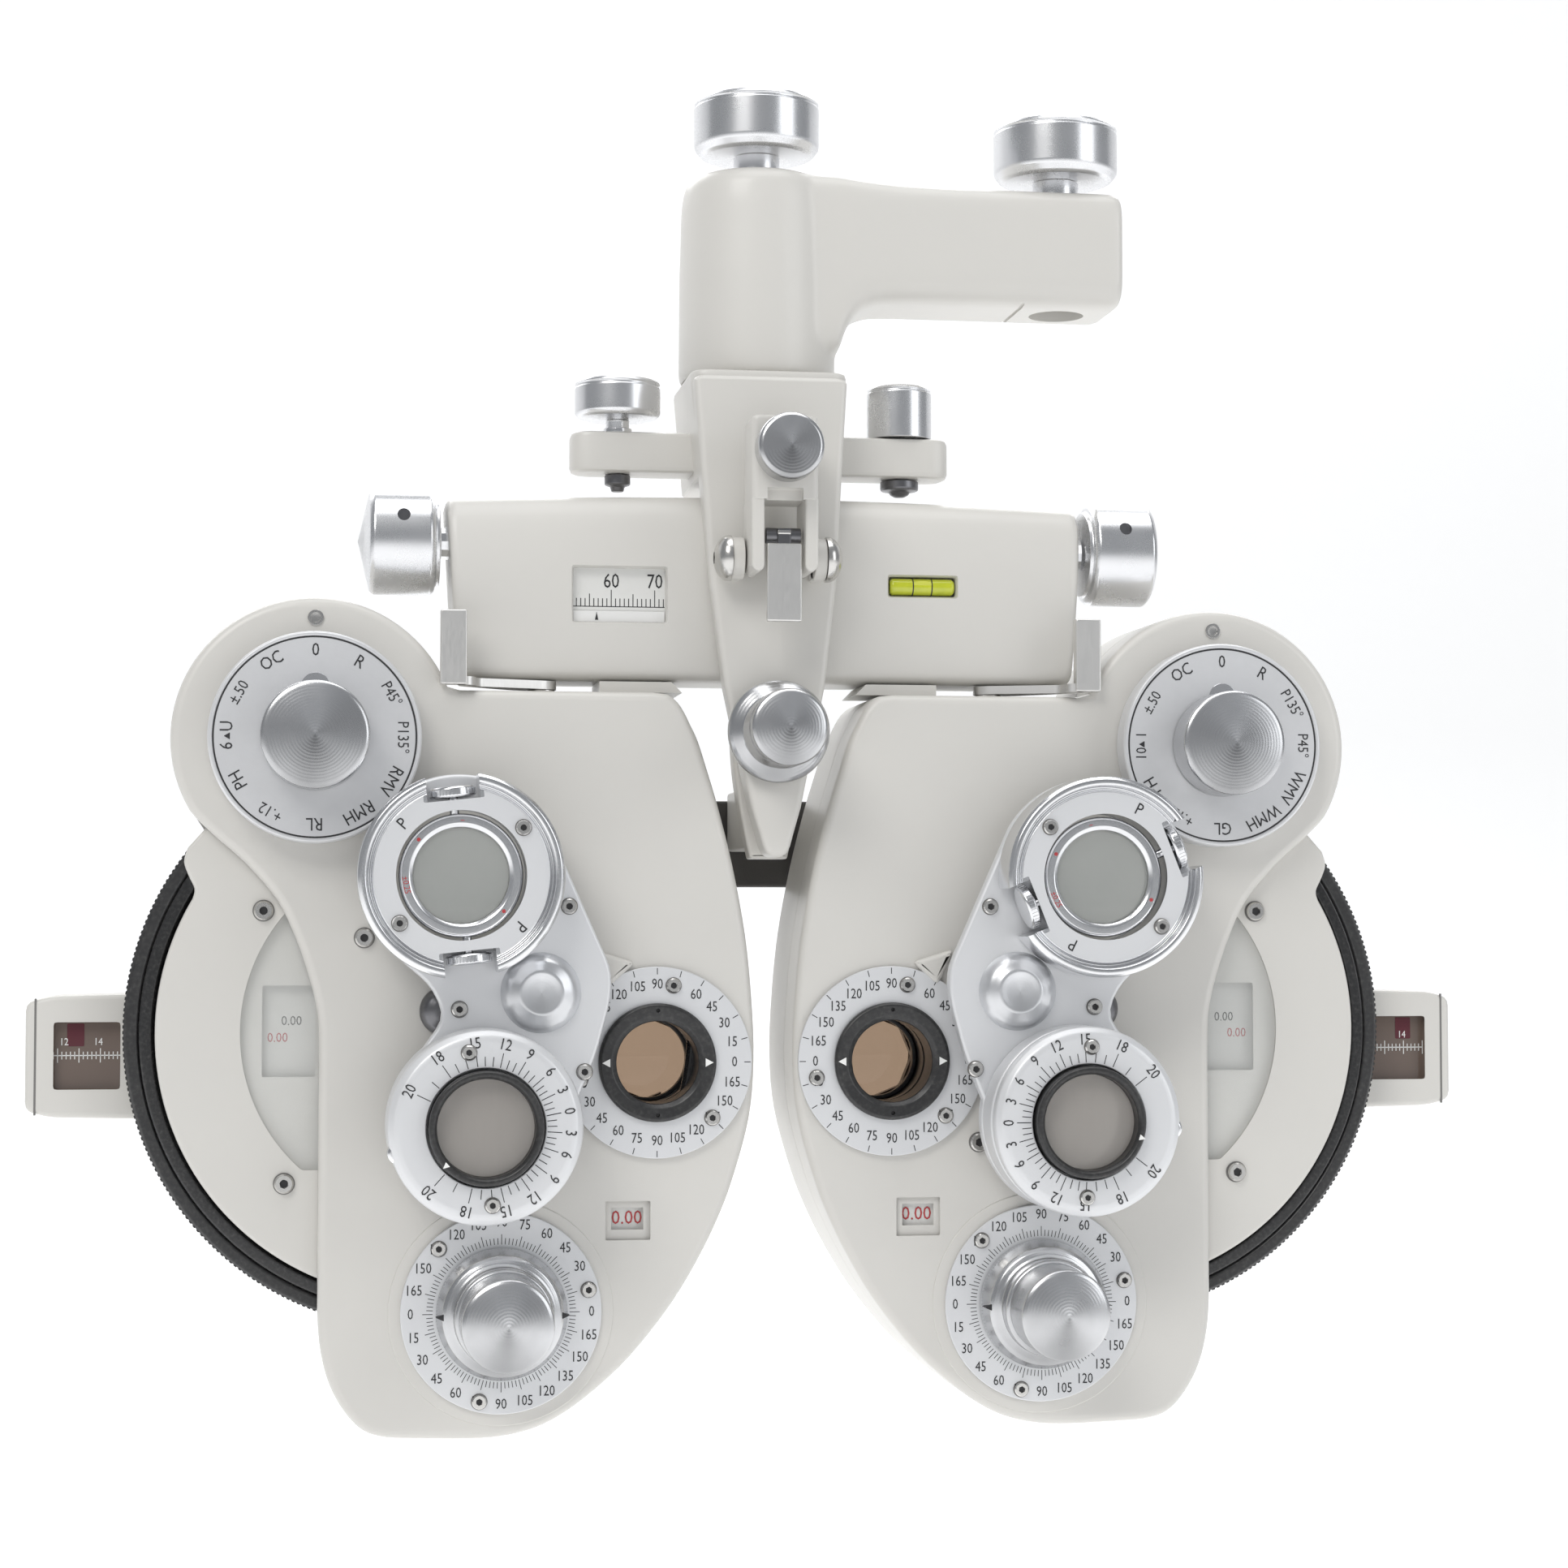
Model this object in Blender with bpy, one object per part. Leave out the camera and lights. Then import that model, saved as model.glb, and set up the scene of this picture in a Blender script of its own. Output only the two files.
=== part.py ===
"""Manual phoropter: two mirrored lens batteries hung under a bridge, on a yoke and a hanger arm.

Sizes are in millimetres and the helpers turn them into metres. X runs across the object with the
plane of symmetry at X = 0, Y runs from the examiner's side (front, negative) to the patient's side,
and Z is up, measured from a line 44.4 mm above the eyes. The datum empty then puts the origin at
the mouth of the stand socket, under the end of the hanger arm.
"""

import math

import bmesh
import bpy
from mathutils import Vector

MM = 0.001
GAP = 0.3  # clearance between fixed neighbours
RUN = 0.5  # clearance round a piece that turns or slides

# Eye line and the two batteries, given for the right one and mirrored for the left one
EYE_X = 28.4
EYE_Z = -44.4
BRIDGE_HALF = 78.5
LOBE_OUTBOARD = 31.0  # from the end of the bridge to the middle of a lobe
LOBE_X = BRIDGE_HALF + LOBE_OUTBOARD
LOBE_Z = 32.2
LOBE_R = 33.6
DIAL_R = 70.4
DIAL_WIDTH = 7.2
LENS_INSET = 15.1  # of the lens circle from the rim of the dial
DISC_Z = -37.0
DISC_REACH = DIAL_R - LENS_INSET
DISC_X = EYE_X + math.sqrt(DISC_REACH**2 - (DISC_Z - EYE_Z) ** 2)
AXIS_X = 65.2
AXIS_Z = -103.0
PIVOT_X = 57.0
PIVOT_Z = -27.5
TURRET_REACH = math.hypot(PIVOT_X - EYE_X, PIVOT_Z - EYE_Z)

# Casing of a battery
SIDE_COVER_FRONT = 4.6
SIDE_COVER_WALL = 2.4
DIAL_FRONT = SIDE_COVER_FRONT + SIDE_COVER_WALL + RUN
COVER_WALL = 3.0
COVER_DEPTH = DIAL_FRONT + DIAL_WIDTH + GAP
COVER_EDGE = 2.2
BACK_EDGE = 4.0
BACK_FACE = 44.0
COVER_TOP = 44.2
TEMPLE_X = DISC_X + 24.9
SIDE_COVER_R = DIAL_R - 7.4
WINDOW_R = SIDE_COVER_R - 19.2
BACK_TEMPLE_R = DIAL_R - 4.4
SOCKET_R = 21.0
EYEPIECE_R = 14.0

# Lens discs on the axle of a battery
DISC_WALL = 3.0
STRONG_DISC_R = DIAL_R - 9.4
STRONG_DISC_FRONT = COVER_DEPTH + 9.0
LENS_HOLE_R = 10.0
LENS_COUNT = 12
AXLE_R = 4.0

# Dials and knobs on a front cover
AUX_R = 24.8
AUX_HEIGHT = 8.0
CONE_R = 12.6
CONE_HEIGHT = 12.0
SPINDLE_R = 3.4
SCALE_R = 22.8
SCALE_WALL = 1.2
RING_R = 14.1
RING_BORE = 9.8
RING_SLEEVE_R = 12.1
AXIS_SCALE_R = 23.7
AXIS_RING_R = 15.4
AXIS_RING_HEIGHT = 12.5
CYLINDER_R = 10.7
CYLINDER_HEIGHT = 15.0
POWER_WINDOW = (30.7, 39.8, -84.8, -78.2)

# Turret with the cross cylinder and the rotary prism
TURRET_FRONT = -12.2
TURRET_WALL = 3.4
CROSS_ANGLE = 55.0
PRISM_ANGLE = -66.0
HUB_R = 9.2
CROSS_R = TURRET_REACH - HUB_R - GAP / 2
CROSS_BORE = 15.0
CROSS_FRONT = -24.5
CELL_R = CROSS_BORE - 0.7
CELL_BORE = CELL_R - 3.2
CELL_WALL = 5.0
THUMB_R = 5.4
PRISM_R = 22.4
PRISM_FRONT = -28.0
BEZEL_R = 13.1
BEZEL_BORE = 11.2
BEZEL_FRONT = -31.0
FLIP_ANGLES = {"left": 96.0, "right": 21.5}  # of the flip axis of a cross cylinder, from +X

# Bridge that holds the interpupillary screw
BRIDGE_BOTTOM = COVER_TOP + 3.3
BRIDGE_TOP = 92.0
BRIDGE_CROWN = 1.8
BRIDGE_FRONT = 6.5
BRIDGE_BACK = 30.0
BRIDGE_WALL = 3.0
SCREW_Y = 16.0
SCREW_Z = 81.0
SCREW_R = 4.0
PD_KNOB_R = 13.0
PD_KNOB_LENGTH = 17.0
CARRIAGE = (26.0, 41.5)
CARRIAGE_DEPTH = (12.2, 26.0)
TRAVEL_IN = 2.4
TRAVEL_OUT = 9.1
PD_WINDOW = (-48.0, -25.5, 61.6, 74.8)
VIAL_WINDOW = (29.6, 46.3, 69.0, 73.8)
LEVER_PIVOT_X = 55.3
LEVER_PIVOT_Y = 12.0
LEVER_WALL = 2.0
LEVER_TIP_X = BRIDGE_HALF + 1.8
LEVER_TAB_WIDTH = 6.3
LEVER_TAB_WALL = 3.0
LEVER_TAB_GAP = 0.4
LEVER_HEIGHT = 63.0

# Yoke, rod holder and forehead rest
POST_Y = 30.0
YOKE_TOP = 123.7
YOKE_TIP = 4.6
CROSS_BAR_HALF = 47.5
CROSS_BAR = (100.0, 110.0)
LEVEL_X = 35.6
LEVEL_TIP = 95.7
ROD_PIVOT_Y = -6.0
ROD_PIVOT_Z = 76.0
ROD_HALF = 8.0
ROD_TOP = 109.0
ROD_FRONT = -18.0
ROD_KNOB_Z = 100.3
ROD_KNOB_R = 7.9
REST_Z = 34.5
REST_KNOB_R = 12.3
REST_PAD_FRONT = BACK_FACE + 3.5
REST_PAD_DEPTH = 8.5
REST_PAD_HALF = 30.0
REST_PAD_Z = (-2.0, 20.0)
REST_PAD_CORNER = 6.0

# Hanger arm that fits on the stand
BOSS_R = 19.7
BOSS_BOTTOM = 124.0
ARM_BOTTOM = 144.0
ARM_TOP = 174.0
ARM_END = 91.7
ARM_HALF_DEPTH = 15.5
STAND_X = 77.5
STAND_R = 7.0
STAND_DEPTH = 22.0
CLAMP_R = 15.8
CLAMP_HEIGHT = 14.5

SIDES = (("left", -1), ("right", 1))


# ---------------------------------------------------------------- helpers


def paint(name, colour, roughness, metallic):
    """A Principled material, made once for each name."""
    found = bpy.data.materials.get(name)
    if found:
        return found
    made = bpy.data.materials.new(name)
    made.use_nodes = True
    shader = made.node_tree.nodes["Principled BSDF"]
    shader.inputs["Base Color"].default_value = (*colour, 1.0)
    shader.inputs["Roughness"].default_value = roughness
    shader.inputs["Metallic"].default_value = metallic
    return made


def ivory():
    return paint("ivory_paint", (0.66, 0.65, 0.61), 0.45, 0.0)


def satin():
    return paint("satin_silver", (0.58, 0.58, 0.61), 0.35, 0.9)


def turned_metal():
    return paint("turned_aluminium", (0.72, 0.73, 0.75), 0.25, 1.0)


def black():
    return paint("black_plastic", (0.02, 0.02, 0.02), 0.4, 0.0)


def steel():
    return paint("dark_steel", (0.25, 0.25, 0.26), 0.3, 1.0)


def clear():
    return paint("clear_plastic", (0.85, 0.87, 0.86), 0.1, 0.0)


def datum():
    """The empty that carries the whole object, so that the stand socket is at the origin."""
    found = bpy.data.objects.get("datum")
    if found:
        return found
    made = bpy.data.objects.new("datum", None)
    made.location = Vector((-STAND_X, -POST_Y, -ARM_BOTTOM)) * MM
    bpy.context.scene.collection.objects.link(made)
    return made


def finish(name, mesh, material, origin):
    """Turns a bmesh into an object with its faces outward and its sharp edges marked."""
    bmesh.ops.recalc_face_normals(mesh, faces=mesh.faces)
    if mesh.calc_volume(signed=True) < 0:
        bmesh.ops.reverse_faces(mesh, faces=mesh.faces)
    data = bpy.data.meshes.new(name)
    mesh.to_mesh(data)
    mesh.free()
    data.materials.append(material)
    data.shade_smooth()
    data.set_sharp_from_angle(angle=math.radians(35))
    made = bpy.data.objects.new(name, data)
    made.parent = datum()
    made.location = Vector(origin) * MM
    bpy.context.scene.collection.objects.link(made)
    return made


def loft(name, rings, material, origin=(0, 0, 0)):
    """A closed solid through rings of points; a ring of one point is a tip."""
    mesh = bmesh.new()
    rows = [[mesh.verts.new(Vector(point) * MM) for point in ring] for ring in rings]
    for first, second in zip(rows, rows[1:]):
        count = max(len(first), len(second))
        for i in range(count):
            a = first[i % len(first)]
            b = first[(i + 1) % len(first)]
            c = second[(i + 1) % len(second)]
            d = second[i % len(second)]
            corners = list(dict.fromkeys((a, b, c, d)))
            mesh.faces.new(corners)
    for end in (rows[0], rows[-1]):
        if len(end) > 2:
            mesh.faces.new(end)
    bmesh.ops.triangulate(mesh, faces=mesh.faces)
    return finish(name, mesh, material, origin)


def turned(name, profile, material, origin=(0, 0, 0), axis="Y", segments=18, ring=False):
    """A solid of revolution. The profile holds (radius, place along the axis); ring closes it on itself."""
    mesh = bmesh.new()

    def spot(radius, along, turn):
        across = (radius * math.cos(turn), radius * math.sin(turn))
        spots = {"X": (along, *across), "Y": (across[0], along, across[1]), "Z": (*across, along)}
        return Vector(spots[axis]) * MM

    rows = []
    for radius, along in profile:
        count = segments if radius > 0 else 1
        rows.append([mesh.verts.new(spot(radius, along, math.tau * i / segments)) for i in range(count)])
    pairs = list(zip(rows, rows[1:]))
    if ring:
        pairs.append((rows[-1], rows[0]))
    for first, second in pairs:
        for i in range(segments):
            a = first[i % len(first)]
            b = first[(i + 1) % len(first)]
            c = second[(i + 1) % len(second)]
            d = second[i % len(second)]
            corners = list(dict.fromkeys((a, b, c, d)))
            if len(corners) > 2:
                mesh.faces.new(corners)
    return finish(name, mesh, material, origin)


def plate(name, outline, front, back, material, origin=(0, 0, 0), edge=0.0):
    """An outline in X and Z extruded along Y, with its front edge rounded."""
    mesh = bmesh.new()
    corners = [mesh.verts.new(Vector((x, front, z)) * MM) for x, z in outline]
    face = mesh.faces.new(corners)
    front_edges = list(face.edges)
    grown = bmesh.ops.extrude_face_region(mesh, geom=[face], use_keep_orig=True)
    moved = [item for item in grown["geom"] if isinstance(item, bmesh.types.BMVert)]
    bmesh.ops.translate(mesh, verts=moved, vec=Vector((0, (back - front) * MM, 0)))
    if edge:
        bmesh.ops.bevel(
            mesh, geom=front_edges, offset=edge * MM, segments=1, profile=0.5,
            affect="EDGES", clamp_overlap=True,
        )
    return finish(name, mesh, material, origin)


def box(name, low, high, material, origin=(0, 0, 0)):
    outline = [(low[0], low[2]), (high[0], low[2]), (high[0], high[2]), (low[0], high[2])]
    return plate(name, outline, low[1], high[1], material, origin)


def helper(made):
    """Keeps a cutter or a joined shape out of the model itself."""
    made.hide_render = True
    made.display_type = "WIRE"
    return made


def combine(target, other, operation):
    modifier = target.modifiers.new(other.name, "BOOLEAN")
    modifier.operation = operation
    modifier.solver = "EXACT"
    modifier.object = helper(other)


def cut(target, other):
    combine(target, other, "DIFFERENCE")


def join(target, other):
    combine(target, other, "UNION")


def arc(centre, radius, start, end, steps):
    """Points on an arc in degrees, both ends included."""
    points = []
    for i in range(steps + 1):
        turn = math.radians(start + (end - start) * i / steps)
        points.append((centre[0] + radius * math.cos(turn), centre[1] + radius * math.sin(turn)))
    return points


def circle(centre, radius, steps):
    return arc(centre, radius, 0, 360 - 360 / steps, steps - 1)


def mirrored(outline, side):
    return [(side * x, z) for x, z in outline]


def inset(outline, distance):
    """The outline moved inward by a distance, with mitred corners."""
    area = sum(a[0] * b[1] - b[0] * a[1] for a, b in zip(outline, outline[1:] + outline[:1]))
    turn = 1 if area > 0 else -1
    moved = []
    for before, here, after in zip(outline[-1:] + outline[:-1], outline, outline[1:] + outline[:1]):
        into = (Vector(here) - Vector(before)).normalized()
        out = (Vector(after) - Vector(here)).normalized()
        normal = Vector((-into.y - out.y, into.x + out.x)).normalized() * turn
        stretch = max(0.5, normal.dot(Vector((-into.y, into.x)) * turn))
        moved.append(tuple(Vector(here) + normal * distance / stretch))
    return moved


def rounded(corners, radius, steps=3):
    """A closed outline with each corner rounded."""
    points = []
    for before, here, after in zip(corners[-1:] + corners[:-1], corners, corners[1:] + corners[:1]):
        here, before, after = Vector(here), Vector(before), Vector(after)
        reach_in = min(radius, (before - here).length / 2.01)
        reach_out = min(radius, (after - here).length / 2.01)
        start = here + (before - here).normalized() * reach_in
        end = here + (after - here).normalized() * reach_out
        for i in range(steps + 1):
            t = i / steps
            points.append(tuple(start * (1 - t) ** 2 + here * 2 * t * (1 - t) + end * t**2))
    return points


def section(across, along, radius, steps=3):
    """A rounded rectangle as (first, second) pairs: across and along hold its lowest and highest values."""
    corners = [(across[0], along[0]), (across[1], along[0]), (across[1], along[1]), (across[0], along[1])]
    return rounded(corners, radius, steps)


# ---------------------------------------------------------------- outlines of a battery


def nose_side():
    """From the top inner corner down past the nose and round the foot of a battery."""
    return [
        (26.0, COVER_TOP - 1.2), (22.7, 40.7), (20.4, 37.0), (18.3, 32.5), (13.5, 17.0), (9.9, 2.7),
        (6.8, -14.0), (5.2, -30.0), (4.7, -44.4), (5.9, -58.0), (9.9, -72.7), (13.7, -82.5),
        (18.3, -91.7), (23.8, -100.8), (30.3, -109.4), (37.0, -116.8), (44.6, -123.3), (50.5, -127.4),
        (56.4, -130.3), (63.5, -132.1), (71.8, -132.7), (TEMPLE_X - 22.2, -132.3), (TEMPLE_X - 15.6, -131.8),
        (TEMPLE_X - 10.9, -130.2), (TEMPLE_X - 7.1, -126.6), (TEMPLE_X - 3.9, -121.5), (TEMPLE_X - 1.8, -116.0),
        (TEMPLE_X - 0.5, -109.5), (TEMPLE_X, -103.0),
    ]


def lobe(start):
    """Round the lobe that holds the auxiliary dial, up to the straight top edge."""
    end = 180 - math.degrees(math.asin((COVER_TOP - LOBE_Z) / LOBE_R))
    return arc((LOBE_X, LOBE_Z), LOBE_R, start, end, 13)


def front_outline():
    sweep = [
        (TEMPLE_X, -40.0), (TEMPLE_X + 0.5, -32.0), (TEMPLE_X + 2.4, -24.0), (TEMPLE_X + 5.5, -15.0),
        (TEMPLE_X + 9.9, -5.9), (TEMPLE_X + 17.1, 2.6), (TEMPLE_X + 24.5, 9.2),
    ]
    return nose_side() + sweep + lobe(-32.0)


def temple_crossing():
    """Angles, about the disc axis and about the lobe, where the back casing meets the lobe."""
    between = Vector((LOBE_X - DISC_X, LOBE_Z - DISC_Z))
    length = between.length
    along = (BACK_TEMPLE_R**2 - LOBE_R**2 + length**2) / (2 * length)
    off = math.sqrt(BACK_TEMPLE_R**2 - along**2)
    way = between / length
    point = way * along + Vector((way.y, -way.x)) * off
    rest = point - between
    return math.degrees(math.atan2(point.y, point.x)), math.degrees(math.atan2(rest.y, rest.x))


def back_outline():
    disc_angle, lobe_angle = temple_crossing()
    start = -math.degrees(math.acos((TEMPLE_X - DISC_X) / BACK_TEMPLE_R))
    temple = arc((DISC_X, DISC_Z), BACK_TEMPLE_R, start, disc_angle, 14)
    return nose_side() + temple[:-1] + lobe(lobe_angle)


def window_outline(clearance):
    """The crescent in the side cover, through which the sphere power is read."""
    radius = WINDOW_R - clearance
    inner = TEMPLE_X - 4.5 + clearance
    half = math.degrees(math.acos((TEMPLE_X + 4.0 - DISC_X) / WINDOW_R))
    curve = arc((DISC_X, DISC_Z), radius, -half, half, 8)
    return curve + [(inner, curve[-1][1]), (inner, curve[0][1])]


# ---------------------------------------------------------------- battery


def front_cover(tag, side):
    outline = mirrored(front_outline(), side)
    cover = plate(f"front_cover_{tag}", outline, 0, COVER_DEPTH, ivory(), edge=COVER_EDGE)
    hollow = inset(outline, COVER_WALL)
    cut(cover, plate(f"cut_hollow_{tag}", hollow, COVER_WALL, COVER_DEPTH + 1, ivory()))
    room = [(0, SIDE_COVER_FRONT - GAP), (DIAL_R + RUN, SIDE_COVER_FRONT - GAP),
            (DIAL_R + RUN, COVER_DEPTH + 1), (0, COVER_DEPTH + 1)]
    cut(cover, turned(f"cut_disc_{tag}", room, ivory(), (side * DISC_X, 0, DISC_Z), segments=36))
    holes = {
        "eye": (EYE_X, EYE_Z, SOCKET_R, 20),
        "aux": (LOBE_X, LOBE_Z, SPINDLE_R + 2 * RUN, 8),
        "axis": (AXIS_X, AXIS_Z, SPINDLE_R + 2 * RUN, 8),
        "turret": (PIVOT_X, PIVOT_Z, SPINDLE_R + 2 * RUN, 8),
    }
    for label, (x, z, radius, steps) in holes.items():
        outline = circle((side * x, z), radius, steps)
        cut(cover, plate(f"cut_{label}_{tag}", outline, -1, COVER_WALL + 1, ivory()))
    low_x, high_x, low_z, high_z = POWER_WINDOW
    window = mirrored([(low_x, low_z), (high_x, low_z), (high_x, high_z), (low_x, high_z)], side)
    cut(cover, plate(f"cut_power_{tag}", window, -1, COVER_WALL + 1, ivory()))


def back_cover(tag, side):
    outline = mirrored(back_outline(), side)
    cover = plate(f"back_cover_{tag}", outline, BACK_FACE, COVER_DEPTH + GAP, ivory(), edge=BACK_EDGE)
    hollow = inset(outline, COVER_WALL)
    room = plate(f"cut_back_{tag}", hollow, COVER_DEPTH - 1, BACK_FACE - COVER_WALL, ivory())
    cut(cover, room)
    eye = circle((side * EYE_X, EYE_Z), EYEPIECE_R, 16)
    cut(cover, plate(f"cut_eyepiece_{tag}", eye, BACK_FACE - COVER_WALL - 1, BACK_FACE + 1, ivory()))


def side_cover(tag, side):
    half = math.degrees(math.acos((TEMPLE_X - 8 - DISC_X) / SIDE_COVER_R))
    outline = mirrored(arc((DISC_X, DISC_Z), SIDE_COVER_R, -half, half, 22), side)
    back = SIDE_COVER_FRONT + SIDE_COVER_WALL
    cover = plate(f"side_cover_{tag}", outline, SIDE_COVER_FRONT, back, ivory(), edge=0.8)
    hole = mirrored(window_outline(0), side)
    cut(cover, plate(f"cut_window_{tag}", hole, SIDE_COVER_FRONT - 1, back + 1, ivory()))
    pane = mirrored(window_outline(GAP), side)
    plate(f"scale_window_{tag}", pane, SIDE_COVER_FRONT + 0.1, back - 0.2, clear())


def lens_holes(disc, side, front, back):
    """The lens seats of a disc, one of them in line with the eye."""
    first = math.degrees(math.atan2(EYE_Z - DISC_Z, EYE_X - DISC_X))
    for i in range(LENS_COUNT):
        turn = math.radians(first + 360 * i / LENS_COUNT)
        centre = (side * DISC_REACH * math.cos(turn), DISC_REACH * math.sin(turn))
        seat = circle(centre, LENS_HOLE_R, 8)
        origin = (side * DISC_X, 0, DISC_Z)
        cut(disc, plate(f"cut_{disc.name}_{i}", seat, front - 1, back + 1, black(), origin))


def lens_discs(tag, side):
    origin = (side * DISC_X, 0, DISC_Z)
    front = DIAL_FRONT
    back = front + DIAL_WIDTH
    web = front + (DIAL_WIDTH - DISC_WALL) / 2
    rim = DIAL_R - 3.4
    profile = [
        (AXLE_R + RUN, web), (rim, web), (rim, front), (DIAL_R, front), (DIAL_R, back), (rim, back),
        (rim, web + DISC_WALL), (AXLE_R + RUN, web + DISC_WALL),
    ]
    dial = turned(f"sphere_dial_{tag}", profile, black(), origin, segments=36, ring=True)
    lens_holes(dial, side, web, web + DISC_WALL)
    disc_back = STRONG_DISC_FRONT + DISC_WALL
    profile = [
        (0, COVER_WALL + RUN), (AXLE_R, COVER_WALL + RUN), (AXLE_R, STRONG_DISC_FRONT - 4),
        (9, STRONG_DISC_FRONT - 4), (9, STRONG_DISC_FRONT), (STRONG_DISC_R, STRONG_DISC_FRONT),
        (STRONG_DISC_R, disc_back), (AXLE_R, disc_back), (AXLE_R, BACK_FACE - COVER_WALL - RUN),
        (0, BACK_FACE - COVER_WALL - RUN),
    ]
    disc = turned(f"strong_lens_disc_{tag}", profile, steel(), origin, segments=28)
    lens_holes(disc, side, STRONG_DISC_FRONT, disc_back)


def auxiliary_dial(tag, side):
    origin = (side * LOBE_X, 0, LOBE_Z)
    bore = SPINDLE_R + RUN
    profile = [
        (bore, -AUX_HEIGHT + 1), (AUX_R - 3, -AUX_HEIGHT), (AUX_R - 1, -AUX_HEIGHT), (AUX_R, -AUX_HEIGHT + 1),
        (AUX_R, -GAP), (bore, -GAP),
    ]
    turned(f"aux_dial_{tag}", profile, satin(), origin, segments=24, ring=True)
    seat = -AUX_HEIGHT - GAP
    profile = [
        (0, COVER_DEPTH - 5), (SPINDLE_R, COVER_DEPTH - 5), (SPINDLE_R, seat), (CONE_R, seat),
        (CONE_R, seat - CONE_HEIGHT + 3), (CONE_R - 0.8, seat - CONE_HEIGHT + 2), (0, seat - CONE_HEIGHT),
    ]
    turned(f"sphere_knob_{tag}", profile, turned_metal(), origin)


def aperture(tag, side):
    origin = (side * EYE_X, 0, EYE_Z)
    plate_front = -GAP - SCALE_WALL
    bore = RING_SLEEVE_R + RUN
    profile = [(bore, plate_front), (SCALE_R, plate_front), (SCALE_R, -GAP), (bore, -GAP)]
    turned(f"aperture_plate_{tag}", profile, satin(), origin, segments=24, ring=True)
    ring_back = plate_front - GAP
    profile = [
        (RING_BORE, ring_back - 1.6), (RING_R - 0.6, ring_back - 1.6), (RING_R, ring_back - 1),
        (RING_R, ring_back), (RING_SLEEVE_R, ring_back), (RING_SLEEVE_R, 7.0), (RING_BORE, 7.0),
    ]
    turned(f"aperture_ring_{tag}", profile, black(), origin, segments=24, ring=True)


def axis_dial(tag, side):
    origin = (side * AXIS_X, 0, AXIS_Z)
    bore = SPINDLE_R + RUN
    plate_front = -GAP - SCALE_WALL
    profile = [(bore, plate_front), (AXIS_SCALE_R, plate_front), (AXIS_SCALE_R, -GAP), (bore, -GAP)]
    turned(f"axis_scale_{tag}", profile, satin(), origin, segments=24, ring=True)
    ring_back = plate_front - GAP
    ring_front = ring_back - AXIS_RING_HEIGHT
    profile = [
        (bore, ring_front), (11.6, ring_front), (11.6, ring_back - 7.5), (14.0, ring_back - 6.5),
        (AXIS_RING_R, ring_back - 3), (AXIS_RING_R, ring_back), (bore, ring_back),
    ]
    turned(f"axis_ring_{tag}", profile, turned_metal(), origin, ring=True)
    seat = ring_front - GAP
    tip = seat - CYLINDER_HEIGHT
    profile = [
        (0, COVER_WALL + 1), (SPINDLE_R, COVER_WALL + 1), (SPINDLE_R, seat), (CYLINDER_R, seat),
        (CYLINDER_R, tip + 3.5), (CYLINDER_R - 0.7, tip + 2.5), (0, tip),
    ]
    turned(f"cylinder_knob_{tag}", profile, turned_metal(), origin)


def polar(reach, angle):
    return reach * math.cos(math.radians(angle)), reach * math.sin(math.radians(angle))


def turret_outline():
    """Round both lobes, with a waist on the temple side and a corner towards the eye."""
    cross = polar(TURRET_REACH, CROSS_ANGLE)
    prism = polar(TURRET_REACH, PRISM_ANGLE)
    upper = arc(cross, CROSS_R, 150, -48, 12)
    lower = arc(prism, PRISM_R, 58, -195, 14)
    return upper + [(25.0, 2.0), (22.6, -4.5)] + lower + [(-12.9, -15.0), (-16.4, -2.0), (-16.7, 5.2)]


def turret(tag, side):
    origin = (side * PIVOT_X, 0, PIVOT_Z)
    back = TURRET_FRONT + TURRET_WALL
    arms = plate(f"turret_plate_{tag}", mirrored(turret_outline(), side), TURRET_FRONT, back, satin(), origin)
    profile = [
        (0, COVER_WALL + 2), (SPINDLE_R, COVER_WALL + 2), (SPINDLE_R, -GAP), (8.6, -GAP),
        (8.6, back - 0.5), (HUB_R, TURRET_FRONT), (7.8, TURRET_FRONT - 2.6), (5.7, TURRET_FRONT - 3.8),
        (0, TURRET_FRONT - 3.8),
    ]
    join(arms, turned(f"join_hub_{tag}", profile, satin(), origin))
    for label, angle, bore in (("cross", CROSS_ANGLE, CROSS_BORE + 0.5), ("prism", PRISM_ANGLE, 12.0)):
        x, z = polar(TURRET_REACH, angle)
        hole = circle((side * x, z), bore, 16)
        cut(arms, plate(f"cut_{label}_hole_{tag}", hole, TURRET_FRONT - 1, back + 1, satin(), origin))


def lobe_origin(side, angle):
    x, z = polar(TURRET_REACH, angle)
    return side * (PIVOT_X + x), PIVOT_Z + z


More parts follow.
